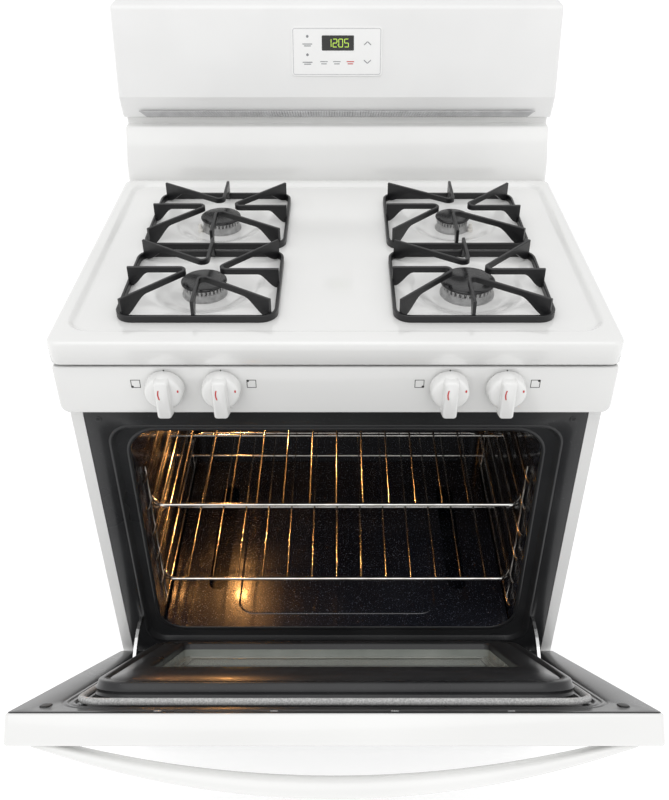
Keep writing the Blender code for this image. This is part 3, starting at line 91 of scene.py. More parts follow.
def roundedLoop(halfA, halfB, corners, sidePoints=1, cornerPoints=7, centre=(0, 0)):
    # four quarter arcs joined by straights; corners holds the radii at ++, -+, -- and +-
    if np.isscalar(corners):
        corners = (corners,) * 4
    angle = np.linspace(0, math.pi / 2, cornerPoints)
    arcs = []
    for quarter, (signA, signB) in enumerate(((1, 1), (-1, 1), (-1, -1), (1, -1))):
        radius = corners[quarter]
        turned = angle + quarter * math.pi / 2
        middle = np.array([signA * (halfA - radius), signB * (halfB - radius)])
        arcs.append(middle + radius * np.stack([np.cos(turned), np.sin(turned)], -1))
    share = np.linspace(0, 1, sidePoints + 2)[1:-1, None]
    parts = []
    for quarter, arc in enumerate(arcs):
        ahead = arcs[(quarter + 1) % 4][0]
        parts += [arc, arc[-1] + share * (ahead - arc[-1])]
    return np.concatenate(parts) + np.array(centre)


def edgeArc(radius, steps, start=0):
    # a quarter circle as (inset, drop) pairs, from the side up to the face
    angle = np.linspace(start, math.pi / 2, steps)
    return list(zip(radius * (1 - np.cos(angle)), radius * (1 - np.sin(angle))))


def middleAndHalf(node):
    low, high = (np.array(corner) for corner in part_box(node))
    return (low + high) / 2, (high - low) / 2


def levelRing(loop, z):
    return np.column_stack([loop, np.full(len(loop), z)])


def frontRing(loop, y):
    # a loop in x and z, standing at depth y
    return np.column_stack([loop[:, 0], np.full(len(loop), y), loop[:, 1]])


def spun(profile, steps=48, centre=(0, 0, 0), axis="z", ripple=None):
    # a profile of (radius, height) turned about z, or about the line towards the front
    profile = np.asarray(profile, float)
    angle = np.linspace(0, 2 * math.pi, steps, endpoint=False)
    radius = np.repeat(profile[:, :1], steps, axis=1)
    if ripple is not None:
        radius = radius - ripple(angle)[None, :] * profile[:, 2:3]
    height = np.repeat(profile[:, 1:2], steps, axis=1)
    across, up = radius * np.cos(angle), radius * np.sin(angle)
    rings = (across, up, height) if axis == "z" else (across, -height, up)
    return loft(np.stack(rings, -1) + np.array(centre))


def tube(path, radius, normal, sides=10, closed=False):
    # a round section carried along a flat path; normal is square to the path's plane
    path, normal = np.asarray(path, float), np.asarray(normal, float)
    if closed:
        along = np.roll(path, -1, 0) - np.roll(path, 1, 0)
    else:
        along = np.gradient(path, axis=0)
    side = np.cross(along, normal)
    side /= np.linalg.norm(side, axis=1)[:, None]
    angle = np.linspace(0, 2 * math.pi, sides, endpoint=False)
    radius = np.broadcast_to(radius, (len(path), sides))[:, :, None]
    offset = np.cos(angle)[None, :, None] * side[:, None, :] + np.sin(angle)[None, :, None] * normal
    return loft(path[:, None, :] + radius * offset, not closed, not closed, closed)


def rod(start, end, radius, normal, sides=8):
    return tube(np.linspace(start, end, 3), radius, normal, sides)


def moved(part, offset):
    return part[0] + np.asarray(offset, float), part[1]


def asPiece(name, parts, body, finish, nodes=(), sharp=35, thickness=0, bevel=0):
    # joins the parts in one mesh, merges doubles, points the faces out and hands the piece over
    points, faces, base = [], [], 0
    for partPoints, partFaces in parts:
        points.append(partPoints)
        faces += [[base + index for index in face] for face in partFaces]
        base += len(partPoints)
    mesh = bpy.data.meshes.new(name)
    mesh.from_pydata(np.concatenate(points).tolist(), [], faces)
    work = bmesh.new()
    work.from_mesh(mesh)
    bmesh.ops.remove_doubles(work, verts=work.verts, dist=2e-6)
    bmesh.ops.dissolve_degenerate(work, edges=work.edges, dist=1e-7)
    bmesh.ops.recalc_face_normals(work, faces=work.faces)
    work.to_mesh(mesh)
    work.free()
    mesh.shade_smooth()
    mesh.set_sharp_from_angle(angle=math.radians(sharp))
    piece = bpy.data.objects.new(name, mesh)
    bpy.context.scene.collection.objects.link(piece)
    if thickness:
        wall = piece.modifiers.new("wall", "SOLIDIFY")
        wall.thickness, wall.offset = thickness, -1
    if bevel:
        edge = piece.modifiers.new("edge", "BEVEL")
        edge.width, edge.segments, edge.limit_method = bevel, 3, "ANGLE"
        edge.angle_limit = math.radians(30)
    mesh.materials.append(finishOf(finish))
    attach(piece, body)
    if nodes:
        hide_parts(*nodes)
    return piece


def cloudy(slot, light, dark, grain, rough, bump, **more):
    # light and dark are the ends of a soft cloud of scale grain; bump is its own scale and strength
    return {"slot": slot, "light": light, "dark": dark, "grain": grain, "rough": rough, "bump": bump, **more}


finishes = {
    "whiteEnamel": cloudy("white_enamel", (0.83, 0.83, 0.82), (0.79, 0.79, 0.78), 5, (0.13, 0.2),
        (420, 0.03), coat=0.6),
    "whitePaint": cloudy("white_painted_steel", (0.8, 0.8, 0.79), (0.755, 0.755, 0.75), 4, (0.24, 0.34),
        (900, 0.07), coat=0.3),
    "consolePlastic": cloudy("white_console_plastic", (0.84, 0.84, 0.835), (0.8, 0.8, 0.795), 7,
        (0.26, 0.36), (1500, 0.06), coat=0.15),
    "handlePlastic": cloudy("handle_plastic", (0.84, 0.84, 0.83), (0.8, 0.8, 0.79), 6, (0.2, 0.3),
        (1300, 0.05), coat=0.3),
    "knobPlastic": cloudy("knob_plastic", (0.85, 0.85, 0.84), (0.8, 0.8, 0.79), 12, (0.2, 0.3),
        (1500, 0.05), coat=0.3),
    "keypadFilm": cloudy("keypad_film", (0.9, 0.9, 0.895), (0.87, 0.87, 0.865), 9, (0.34, 0.44),
        (2200, 0.06), coat=0.1),
    "markGrey": cloudy("keypad_film", (0.3, 0.31, 0.32), (0.2, 0.21, 0.22), 300, (0.4, 0.5),
        (2500, 0.03)),
    "markBlack": cloudy("white_enamel", (0.03, 0.03, 0.03), (0.015, 0.015, 0.015), 300, (0.4, 0.5),
        (2500, 0.03)),
    "outlineGrey": cloudy("keypad_film", (0.6, 0.6, 0.61), (0.5, 0.5, 0.51), 200, (0.35, 0.45),
        (2000, 0.03)),
    "markRed": cloudy("keypad_film", (0.62, 0.045, 0.04), (0.48, 0.03, 0.03), 300, (0.35, 0.45),
        (2500, 0.03)),
    # the vent strip is the white console plastic painted grey: painted shade under the console's knee
    "ventPaintedShade": cloudy("white_console_plastic", (0.56, 0.56, 0.565), (0.45, 0.45, 0.455), 60,
        (0.4, 0.55), (1500, 0.1)),
    "displayGlass": cloudy("display_window", (0.016, 0.017, 0.016), (0.01, 0.01, 0.01), 30,
        (0.06, 0.12), (600, 0.01), coat=0.5),
    "digitGlow": cloudy("display_window", (0.5, 0.8, 0.1), (0.35, 0.6, 0.06), 500, (0.3, 0.4),
        (900, 0.02), glow=((0.6, 0.8, 0.1), 0.75)),
    "galvanised": cloudy("galvanised_steel", (0.58, 0.59, 0.6), (0.5, 0.51, 0.52), 150, (0.3, 0.5),
        (70, 0.04), spangle=True, metallic=0.9),
    "legSteel": cloudy("leg_steel", (0.45, 0.45, 0.46), (0.3, 0.3, 0.31), 80, (0.3, 0.45), (500, 0.08),
        metallic=0.9),
    "darkEnamel": cloudy("dark_enamel", (0.03, 0.0305, 0.032), (0.018, 0.0185, 0.02), 9, (0.24, 0.34),
        (380, 0.05), coat=0.08, specular=0.32, speck=(900, 0.72, (0.22, 0.22, 0.23))),
    "cavityEnamel": cloudy("cavity_enamel", (0.016, 0.019, 0.027), (0.007, 0.008, 0.012), 6,
        (0.16, 0.3), (420, 0.08), coat=0.4, speck=(700, 0.68, (0.3, 0.33, 0.42))),
    "wool": cloudy("insulation_wool", (0.78, 0.72, 0.52), (0.55, 0.48, 0.3), 45, (0.85, 0.98),
        (180, 0.7)),
    "rackChrome": cloudy("rack_chrome", (0.86, 0.85, 0.83), (0.66, 0.64, 0.61), 40, (0.1, 0.24),
        (900, 0.03), metallic=1.0),
    "burnerTube": cloudy("burner_tube_steel", (0.42, 0.4, 0.38), (0.24, 0.21, 0.19), 30, (0.35, 0.55),
        (400, 0.1), metallic=0.9),
    "lampGlass": cloudy("lamp_glass", (1.0, 0.72, 0.4), (1.0, 0.6, 0.28), 60, (0.15, 0.3), (300, 0.04),
        glow=((1.0, 0.52, 0.16), 14.0)),
    "sensorSteel": cloudy("sensor_steel", (0.6, 0.6, 0.6), (0.45, 0.45, 0.45), 90, (0.2, 0.35),
        (900, 0.04), metallic=1.0),
    "burnerCast": cloudy("burner_aluminium", (0.5, 0.5, 0.5), (0.34, 0.34, 0.34), 120, (0.38, 0.55),
        (1400, 0.25), metallic=0.7),
    "capEnamel": cloudy("cap_enamel", (0.01, 0.01, 0.011), (0.005, 0.005, 0.006), 20, (0.2, 0.34),
        (800, 0.1), coat=0.15),
    "grateEnamel": cloudy("grate_enamel", (0.009, 0.009, 0.01), (0.004, 0.004, 0.005), 25, (0.3, 0.46),
        (700, 0.2), coat=0.05),
    "brass": cloudy("brass", (0.75, 0.52, 0.22), (0.56, 0.37, 0.14), 60, (0.2, 0.36), (700, 0.05),
        metallic=1.0),
    "innerGlass": cloudy("inner_glass", (0.42, 0.46, 0.43), (0.34, 0.38, 0.35), 5, (0.03, 0.07),
        (60, 0.006), clear=0.45),
    "paneBand": cloudy("inner_glass", (0.3, 0.32, 0.29), (0.22, 0.24, 0.215), 14, (0.12, 0.22),
        (400, 0.03), coat=0.3),
    "outerGlass": cloudy("outer_glass", (0.05, 0.056, 0.056), (0.03, 0.034, 0.034), 5, (0.04, 0.08),
        (60, 0.006), coat=0.5),
    "gasketBraid": cloudy("woven_gasket", (0.62, 0.62, 0.61), (0.34, 0.34, 0.34), 480, (0.6, 0.8),
        (1400, 0.5)),
    "hingeSteel": cloudy("hinge_steel", (0.74, 0.74, 0.74), (0.54, 0.54, 0.54), 50, (0.16, 0.32),
        (600, 0.05), metallic=1.0),
    "blackRubber": cloudy("inlet_plastic", (0.03, 0.03, 0.031), (0.016, 0.016, 0.017), 40, (0.5, 0.65),
        (900, 0.2)),
    "ceramic": cloudy("burner_aluminium", (0.82, 0.8, 0.76), (0.7, 0.68, 0.64), 200, (0.3, 0.45),
        (1500, 0.1)),
}
finishShare = {"coatRoughness": 0.08, "rampEnds": (0.3, 0.7), "speckEdge": 0.05, "bumpDistance": 0.001,
               "glassIor": 1.45}
finishMade = {}


def addNode(tree, kind, feed=None, **settings):
    # a new node with its sockets set; feed goes to its first socket or to Vector
    node = tree.nodes.new("ShaderNode" + kind)
    for socket, value in settings.items():
        node.inputs[socket.replace("_", " ")].default_value = value
    if feed is not None:
        tree.links.new(feed, node.inputs["Vector"] if "Vector" in node.inputs else node.inputs[0])
    return node


def finishOf(name):
    # cloudy colour, roughness and fine bump on Object coordinates; specks or spangle where asked
    if name in finishMade:
        return finishMade[name]
    look = finishes[name]
    material = bpy.data.materials.new(name)
    material.use_nodes = True
    tree = material.node_tree
    links, shader = tree.links, tree.nodes["Principled BSDF"]
    shader.inputs["Metallic"].default_value = look.get("metallic", 0)
    shader.inputs["Coat Weight"].default_value = look.get("coat", 0)
    shader.inputs["Coat Roughness"].default_value = finishShare["coatRoughness"]
    shader.inputs["Specular IOR Level"].default_value = look.get("specular", 0.5)
    where = addNode(tree, "TexCoord").outputs["Object"]
    if look.get("spangle"):
        share = addNode(tree, "TexVoronoi", where, Scale=look["grain"]).outputs["Color"]
    else:
        share = addNode(tree, "TexNoise", where, Scale=look["grain"]).outputs[0]
    ramp = addNode(tree, "ValToRGB", share)
    for end, tone, place in zip(ramp.color_ramp.elements, ("dark", "light"), finishShare["rampEnds"]):
        end.color = (*look[tone], 1)
        end.position = place
    colour = ramp.outputs["Color"]
    if "speck" in look:
        scale, start, tint = look["speck"]
        dots = addNode(tree, "TexNoise", where, Scale=scale).outputs[0]
        keep = addNode(tree, "MapRange", From_Min=start, From_Max=start + finishShare["speckEdge"])
        links.new(dots, keep.inputs["Value"])
        blend = tree.nodes.new("ShaderNodeMix")
        blend.data_type = "RGBA"
        firstColour, secondColour, mixed = blend.inputs[6], blend.inputs[7], blend.outputs[2]
        secondColour.default_value = (*tint, 1)
        links.new(keep.outputs["Result"], blend.inputs[0])
        links.new(colour, firstColour)
        colour = mixed
    links.new(colour, shader.inputs["Base Color"])
    gloss = addNode(tree, "MapRange", To_Min=look["rough"][0], To_Max=look["rough"][1])
    links.new(share, gloss.inputs["Value"])
    links.new(gloss.outputs["Result"], shader.inputs["Roughness"])
    scale, strength = look["bump"]
    fine = addNode(tree, "TexNoise", where, Scale=scale).outputs[0]
    bump = addNode(tree, "Bump", Strength=strength, Distance=finishShare["bumpDistance"])
    links.new(fine, bump.inputs["Height"])
    links.new(bump.outputs["Normal"], shader.inputs["Normal"])
    if "glow" in look:
        shader.inputs["Emission Color"].default_value = (*look["glow"][0], 1)
        shader.inputs["Emission Strength"].default_value = look["glow"][1]
    if "clear" in look:
        shader.inputs["Transmission Weight"].default_value = look["clear"]
        shader.inputs["IOR"].default_value = finishShare["glassIor"]
    finishMade[name] = material
    return material


# cooktop: one sheet from the lip's foot over the rim and down into the well and its four dishes

cooktop = {"rimSide": 0.0214, "rimFront": 0.033, "rimRear": 0.0187, "corner": 0.016, "wellCorner": 0.03,
           "edge": 0.0055, "slope": 0.011, "depth": 0.006, "dishDepth": 0.0095, "dishFlat": 0.013,
           "dishWide": 0.045, "floorRings": 66, "sidePoints": 84, "leastCorner": 5e-4, "hem": 0.001,
           "strip": 0.002, "underRim": 0.004, "wall": 0.0012}
burnerNames = ["front_left", "front_right", "rear_left", "rear_right"]


def burnerCentre(name):
    low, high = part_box("burner_cap_" + name)
    middle = (low + high) / 2
    return np.array([middle.x, middle.y, low.z]), (high.x - low.x) / 2


def smooth(value):
    value = np.clip(value, 0, 1)
    return value * value * (3 - 2 * value)


def makeCooktop():
    low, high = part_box("cooktop")
    centre, half = (part[:2] for part in middleAndHalf("cooktop"))
    wellHalf = half - [cooktop["rimSide"], (cooktop["rimFront"] + cooktop["rimRear"]) / 2]
    wellCentre = centre + [0, (cooktop["rimFront"] - cooktop["rimRear"]) / 2]
    edge, slope = cooktop["edge"], cooktop["slope"]

    def ring(base, baseHalf, inset, corner, z):
        least = cooktop["leastCorner"]
        loop = roundedLoop(*(baseHalf - inset), max(corner - inset, least), cooktop["sidePoints"], 9, base)
        return levelRing(loop, z)

    rings = [ring(centre, half, cooktop["hem"], cooktop["corner"], low.z)]
    rings.append(ring(centre, half, 0, cooktop["corner"], low.z + cooktop["hem"]))
    for inset, drop in edgeArc(edge, 7):
        rings.append(ring(centre, half, inset, cooktop["corner"], high.z - drop))
    for share in np.linspace(0, 1, 12):
        inset = -slope / 2 + slope * share
        z = high.z - cooktop["depth"] * float(smooth(share))
        rings.append(ring(wellCentre, wellHalf, inset, cooktop["wellCorner"], z))
    reach = wellHalf[1] - slope / 2 - cooktop["strip"]
    for share in np.linspace(0, 1, cooktop["floorRings"])[1:]:
        inset = slope / 2 + share * reach
        rings.append(ring(wellCentre, wellHalf, inset, cooktop["wellCorner"], high.z - cooktop["depth"]))
    rings = np.array(rings)
    for name in burnerNames:
        place, radius = burnerCentre(name)
        away = np.hypot(rings[:, :, 0] - place[0], rings[:, :, 1] - place[1])
        flat = radius + cooktop["dishFlat"]
        share = 1 - smooth((away - flat) / (cooktop["dishWide"] - cooktop["dishFlat"]))
        inWell = rings[:, :, 2] < high.z - cooktop["underRim"]
        rings[:, :, 2] -= np.where(inWell, cooktop["dishDepth"] * share, 0)
    asPiece("cooktop_enamel", [loft(rings, False, True)], "range_body", "whiteEnamel", ["cooktop"], 50,
            cooktop["wall"])


makeCooktop()
print("cooktop made")

# burners: slotted cast heads, enamelled caps and a spark igniter beside each

# headSteps are (past the wall, up from the base, slotted); capSteps are (inset, up, share of the height)
burner = {"slots": 32, "slotDepth": 0.0034, "lip": 0.0028, "base": 0.0180, "seat": 0.0002, "topIn": 0.0008,
          "headSteps": ((0.0024, 0, 0), (0.0024, 0.0012, 0), (0.0006, 0.0018, 0), (-0.0002, 0.0040, 0),
                        (-0.0004, 0.0106, 0), (0, 0.0112, 0), (0, 0.0122, 1), (0, 0.0166, 1), (0, 0.0170, 0)),
          "capSteps": ((0.0016, 0, 0), (0.0003, 0.0006, 0), (0, 0.0016, 0), (0.0002, 0, 0.6),
                       (0.0016, 0, 0.84), (0.0042, 0, 0.93)), "crown": (0.6, 0.985),
          "stickSteps": ((0, 0), (0.0042, 0), (0.0042, 0.0045), (0.0031, 0.0055), (0.0031, 0.0125),
                         (0.0024, 0.0135), (0, 0.0135)),
          "igniterOut": 0.0065, "igniterTurn": (150, 30, 205, -25)}


def slotRipple(angle):
    wave = np.cos(angle * burner["slots"])
    return np.clip(wave * 2, 0, 1)


def makeBurner(name, turn):
    # profiles of radius and height turned about z; slots are a wave round the head
    place, radius = burnerCentre(name)
    foot = place - [0, 0, place[2]]
    top = place[2] - burner["seat"]
    head, base = radius - burner["lip"], place[2] - burner["base"]
    steps = [(head + out, base + up, cut * burner["slotDepth"]) for out, up, cut in burner["headSteps"]]
    profile = [(0, base, 0), *steps, (head - burner["topIn"], top, 0), (0, top, 0)]
    part = spun(profile, burner["slots"] * 8, foot, ripple=slotRipple)
    asPiece("burner_" + name, [part], "range_body", "burnerCast", ["burner_head_" + name], 28)
    node = "burner_cap_" + name
    low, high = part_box(node)
    rise = high.z - low.z
    steps = [(radius - inset, low.z + up + share * rise) for inset, up, share in burner["capSteps"]]
    crownIn, crownUp = burner["crown"]
    cap = [(0, low.z), *steps, (radius * crownIn, low.z + rise * crownUp), (0, high.z)]
    asPiece("cap_" + name, [spun(cap, 72, foot)], node, "capEnamel", [node], 50)
    way = math.radians(turn)
    out = head + burner["igniterOut"]
    spot = foot + [out * math.cos(way), out * math.sin(way), 0]
    stick = [(r, base + up) for r, up in burner["stickSteps"]]
    asPiece("igniter_" + name, [spun(stick, 20, spot)], "range_body", "ceramic")


for name, turn in zip(burnerNames, burner["igniterTurn"]):
    makeBurner(name, turn)
print("burners made")

# grates: a rounded frame of flat bar and four hairpins of bar on edge, tops level

grate = {"thick": 0.0046, "tall": 0.0085, "bar": 0.010, "corner": 0.024, "reach": 0.034, "offset": 0.005,
         "radius": 0.008, "flareStart": 0.6, "flareEnd": 0.95, "foot": 0.002, "chamfer": 0.0009}


def barLoop(half, corner, z):
    return levelRing(roundedLoop(half[0], half[1], corner, 3, 9), z)


def hairpin(half, bottom, top):
    # corner leg, round turn near the burner, side leg; the section grows down towards the frame
    centre = np.array([-grate["offset"], grate["reach"]])
    inset = grate["corner"] * (1 - math.sqrt(0.5))
    corner = np.array([-half[0] + inset, half[1] - inset])
    way = (corner - centre) / np.linalg.norm(corner - centre)
    start = centre + np.array([-way[1], way[0]]) * grate["radius"]
    middle = centre + np.array([grate["radius"], 0])
    side = np.array([middle[0], half[1]])
    share = np.linspace(0, 1, 26)
    legOut = start + share[:, None] * (corner - start)
    legSide = middle + share[:, None] * (side - middle)
    first = math.atan2(*(start - centre)[::-1])
    angle = np.linspace(first, 0, 14)[1:-1]
    bend = centre + grate["radius"] * np.stack([np.cos(angle), np.sin(angle)], -1)
    path = np.concatenate([legOut[::-1], bend, legSide])
    flare = smooth((share - grate["flareStart"]) / (grate["flareEnd"] - grate["flareStart"]))
    flare = np.concatenate([flare[::-1], np.zeros(len(bend)), flare])
    along = np.gradient(path, axis=0)
    along /= np.linalg.norm(along, axis=1)[:, None]
    across = np.stack([-along[:, 1], along[:, 0]], -1)
    under = (top - grate["tall"]) * (1 - flare) + (bottom + grate["foot"]) * flare
    h, c = grate["thick"] / 2, grate["chamfer"]
    section = [(-h, top - c), (-h + c, top), (h - c, top), (h, top - c), (h, None), (-h, None)]
    rings = []
    for shift, z in section:
        level = under if z is None else np.full(len(path), z)
        rings.append(np.column_stack([path + across * shift, level]))
    return loft(np.stack(rings, 1), True, True)


def makeGrate(name):
    # a bar section carried round the frame, and four turned copies of one hairpin
    low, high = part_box("grate_" + name)
    centre, outer = (part[:2] for part in middleAndHalf("grate_" + name))
    centre = np.append(centre, 0)
    half = outer - grate["thick"] / 2
    barTop, thick, c = low.z + grate["bar"], grate["thick"], grate["chamfer"]
    rows = [(0, low.z), (0, barTop - c), (c, barTop)]
    rows += [(thick - inset, z) for inset, z in reversed(rows)]
    frameRings = [barLoop(outer - inset, grate["corner"] - inset, z) for inset, z in rows]
    parts = [moved(loft(frameRings, wrap=True), centre)]
    for quarter in range(4):
        halves = half if quarter % 2 == 0 else half[::-1]
        points, faces = hairpin(halves, low.z, high.z)
        angle = math.radians(-90 * quarter)
        cos, sin = math.cos(angle), math.sin(angle)
        spin = np.array([[cos, -sin, 0], [sin, cos, 0], [0, 0, 1]])
        parts.append((points @ spin.T + centre, faces))
    asPiece("grate_" + name + "_bars", parts, "grate_" + name, "grateEnamel", ["grate_" + name], 40)


for name in burnerNames:
    makeGrate(name)
print("grates made")

# backguard: riser and console as profiles carried along x

riser = {"bevel": 0.0025}
console = {"leanIn": 0.0285, "topRound": 0.009, "kneeUp": 0.041, "bottomBack": 0.015, "bevel": 0.0035,
           "ventIn": 0.031, "ventLow": 0.0035, "ventHigh": 0.0155, "ventSlant": 0.012, "louvres": 150}


def arcPoints(centre, radius, start, end, steps=9):
    angle = np.radians(np.linspace(start, end, steps))
    return np.array(centre) + radius * np.stack([np.cos(angle), np.sin(angle)], -1)


def alongX(profile, half, columns=2):
    # profile holds (y, z) points, drawn round the section
    profile = np.asarray(profile, float)
    places = np.linspace(-half, half, columns)
    rings = [np.column_stack([np.full(len(profile), x), profile]) for x in places]
    return loft(rings, True, True)


def makeRiser():
    # one profile of y and z from the cooktop up to the shelf, carried along x
    low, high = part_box("backguard_riser")
    front, rear, neck = low.y, high.y, high.z - 0.0118
    lean, shelf = front + 0.031, front + 0.051
    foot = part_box("cooktop")[1].z
    cove = [(front, low.z), (front, foot), (front + 0.0008, foot + 0.012), (front + 0.0035, foot + 0.03)]
    profile = [*cove, (lean, neck - 0.002), (lean + 0.002, neck), (shelf, neck), (shelf, high.z),
               (rear - 0.01, high.z), (rear - 0.01, neck), (rear, neck), (rear, low.z)]
    asPiece("riser_panel", [alongX(profile, high.x)], "range_body", "whiteEnamel", ["backguard_riser"],
            bevel=riser["bevel"])


def consoleFace(u, v, out=0.0):
    # a point u across, v up the leaning face from the knee and out square to it, in metres
    low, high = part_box("console_shell")
    lean = math.atan2(console["leanIn"], high.z - low.z - console["kneeUp"])
    knee = low.z + console["kneeUp"]
    u, v, out = np.broadcast_arrays(u, v, out)
    y = low.y + v * math.sin(lean) - out * math.cos(lean)
    z = knee + v * math.cos(lean) + out * math.sin(lean)
    return np.stack([u, y, z], -1)


def makeConsole():
    # a closed profile with arcs at the knee and the two upper corners, carried along x
    low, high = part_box("console_shell")
    knee, top = low.z + console["kneeUp"], high.z
    turn = console["topRound"]
    topFront = low.y + console["leanIn"]
    back = high.y
    profile = np.concatenate([
        [(low.y + console["bottomBack"], low.z)],
        arcPoints((low.y + 0.004, knee), 0.004, 200, 169, 5),
        arcPoints((topFront + turn - 0.001, top - turn), turn, 168, 90, 8),
        arcPoints((back - 0.005, top - 0.005), 0.005, 90, 0, 6),
        [(back, low.z)],
    ])
    asPiece("console_case", [alongX(profile, high.x)], "range_body", "consolePlastic", ["console_shell"],
            bevel=console["bevel"])
    # the vent is a strip under the knee, its depth a wave of louvres along x; its grey is painted shade on
    # the white console plastic
    half = high.x - console["ventIn"]
    across = np.linspace(-1, 1, console["louvres"] * 6 + 1)
    up = np.linspace(0, 1, 7)
    rise, share = np.meshgrid(up, across, indexing="ij")
    x = share * (half - console["ventSlant"] * (1 - rise))
    z = low.z + console["ventLow"] + (console["ventHigh"] - console["ventLow"]) * rise
    face = low.y + console["bottomBack"] * (1 - (z - low.z) / console["kneeUp"])
    edge = np.minimum(rise, 1 - rise) > 0.1
    wave = np.clip(np.cos(share * math.pi * console["louvres"]) * 2, -1, 1)
    y = face - 0.0035 + 0.0009 * wave * edge
    asPiece("console_vent", [sheetOf(np.stack([x, y, z], -1))], "range_body", "ventPaintedShade", thickness=0.0012)


makeRiser()
makeConsole()

# keypad: a film panel with an embossed outline, a display with four digits and plain marks

keypad = {"halfWide": 0.077, "halfTall": 0.0393, "corner": 0.006, "thick": 0.0016,
          "outline": ((0.0022, 0), (0.0025, 0.0003), (0.0031, 0.0003), (0.0034, 0)),
          "screen": (0.0017, 0.0136), "screenHalf": (0.0272, 0.0120), "time": "1205",
          "digitTall": 0.0125, "digitWide": 0.0065, "digitPitch": 0.0098, "bar": 0.0009,
          "arrowX": 0.052, "arrows": ((0.013, 1), (-0.016, -1)), "arrowHalf": (0.0062, 0.0028),
          "arrowBar": 0.0016, "lights": (0.024, -0.005), "lightX": -0.050, "keyX": (-0.022, 0.0),
          "redX": 0.023, "keyUp": -0.016, "keyUnderUp": -0.0195}
# half width and half height of each plain mark
keypadLabels = {"lamp": (0.0022, 0.0022), "long": (0.0085, 0.0008), "short": (0.0060, 0.0008),
                "key": (0.0065, 0.0007), "keyUnder": (0.0048, 0.0007), "red": (0.0065, 0.0008),
                "redUnder": (0.0048, 0.0008)}


def plate(half, corner, centre, low, high, edge=0.0004, points=7):
    # a small rounded plate on the console face
    rings = []
    for inset, out in ((0, low), (0, high - edge), (edge, high)):
        loop = roundedLoop(half[0] - inset, half[1] - inset, max(corner - inset, 1e-5), 1, points, centre)
        rings.append(consoleFace(loop[:, 0], loop[:, 1], out))
    return loft(rings, True, True)


def stroke(start, end, width, low, high):
    # a straight mark with pointed ends, as on a seven-part digit
    start, end = np.array(start), np.array(end)
    along = (end - start) / np.linalg.norm(end - start)
    across = np.array([-along[1], along[0]]) * width / 2
    tip = along * width / 2
    loop = np.array([start, start + tip + across, end - tip + across,
                     end, end - tip - across, start + tip - across])
    return loft([consoleFace(loop[:, 0], loop[:, 1], out) for out in (low, high)], True, True)


segments = {"a": ((0, 2), (1, 2)), "b": ((1, 2), (1, 1)), "c": ((1, 1), (1, 0)), "d": ((0, 0), (1, 0)),
            "e": ((0, 0), (0, 1)), "f": ((0, 1), (0, 2)), "g": ((0, 1), (1, 1))}
digitParts = {"1": "bc", "2": "abged", "0": "abcdef", "5": "afgcd"}


def makeKeypad():
    low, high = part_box("keypad")
    shell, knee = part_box("console_shell"), console["kneeUp"]
    lean = math.atan2(console["leanIn"], shell[1].z - shell[0].z - knee)
    middle = ((low.z + high.z) / 2 - shell[0].z - knee) / math.cos(lean)
    thick = keypad["thick"]
    size = (keypad["halfWide"], keypad["halfTall"])
    body = plate(size, keypad["corner"], (0, middle), -0.001, thick)
    asPiece("keypad_panel", [body], "range_body", "keypadFilm", ["keypad"])
    rings = []
    for inset, out in keypad["outline"]:
        loop = roundedLoop(size[0] - inset, size[1] - inset, keypad["corner"] - inset, 1, 8, (0, middle))
        rings.append(consoleFace(loop[:, 0], loop[:, 1], thick + out))
    asPiece("keypad_outline", [loft(rings)], "range_body", "outlineGrey")
    screen = (keypad["screen"][0], middle + keypad["screen"][1])
    glass = plate(keypad["screenHalf"], 0.0015, screen, thick, thick + 0.0005)
    asPiece("display_glass", [glass], "range_body", "displayGlass", ["display"])
    digits = []
    for place, figure in zip((-1.5, -0.5, 0.5, 1.5), keypad["time"]):
        left = screen[0] + keypad["digitPitch"] * place - keypad["digitWide"] / 2
        bottom = screen[1] - keypad["digitTall"] / 2
        for letter in digitParts[figure]:
            ends = [(left + a * keypad["digitWide"], bottom + b * keypad["digitTall"] / 2)
                    for a, b in segments[letter]]
            digits.append(stroke(*ends, keypad["bar"], thick + 0.0005, thick + 0.0007))
    for rise in (-0.003, 0.003):
        digits.append(plate((0.0006, 0.0006), 0.0005, (screen[0], screen[1] + rise), thick + 0.0005,
                            thick + 0.0007, 0.0001, 3))
    asPiece("display_digits", digits, "range_body", "digitGlow")

    def label(kind, x, up):
        wide, tall = keypadLabels[kind]
        points = 6 if kind == "lamp" else 3
        return plate((wide, tall), tall - 0.0001, (x, middle + up), over, level, 0.0001, points)

    level, over = thick + 0.0001, thick - 0.0002
    marks = []
    for up in keypad["lights"]:
        for kind, drop in (("lamp", 0), ("long", 0.012), ("short", 0.015)):
            marks.append(label(kind, keypad["lightX"], up - drop))
    for x in keypad["keyX"]:
        marks += [label("key", x, keypad["keyUp"]), label("keyUnder", x, keypad["keyUnderUp"])]
    wide, tall = keypad["arrowHalf"]
    for up, way in keypad["arrows"]:
        peak = (keypad["arrowX"], middle + up + tall * way)
        for side in (-1, 1):
            foot = (keypad["arrowX"] + side * wide, middle + up - tall * way)
            marks.append(stroke(foot, peak, keypad["arrowBar"], over, level))
    asPiece("keypad_marks", marks, "range_body", "markGrey")
    redX = keypad["redX"]
    red = [label("red", redX, keypad["keyUp"]), label("redUnder", redX, keypad["keyUnderUp"])]
    asPiece("keypad_red_mark", red, "range_body", "markRed")


makeKeypad()
print("backguard made")

# knob panel with its marks, and the four knobs

panel = {"lowCorner": 0.013, "highCorner": 0.003, "edge": 0.003, "iconHalf": 0.006,
         "iconOut": 0.040, "mark": 0.0006}
knob = {"radius": 0.0265, "skirtLow": 0.0035, "skirtHigh": 0.0222, "gripTop": 0.0307, "head": 0.0245,
        "tail": 0.0335, "gripHalf": 0.0092, "headCorner": 0.005, "tailCorner": 0.0035,
        "lineLow": -0.002, "lineHigh": 0.013, "lineLeft": 0.0035}


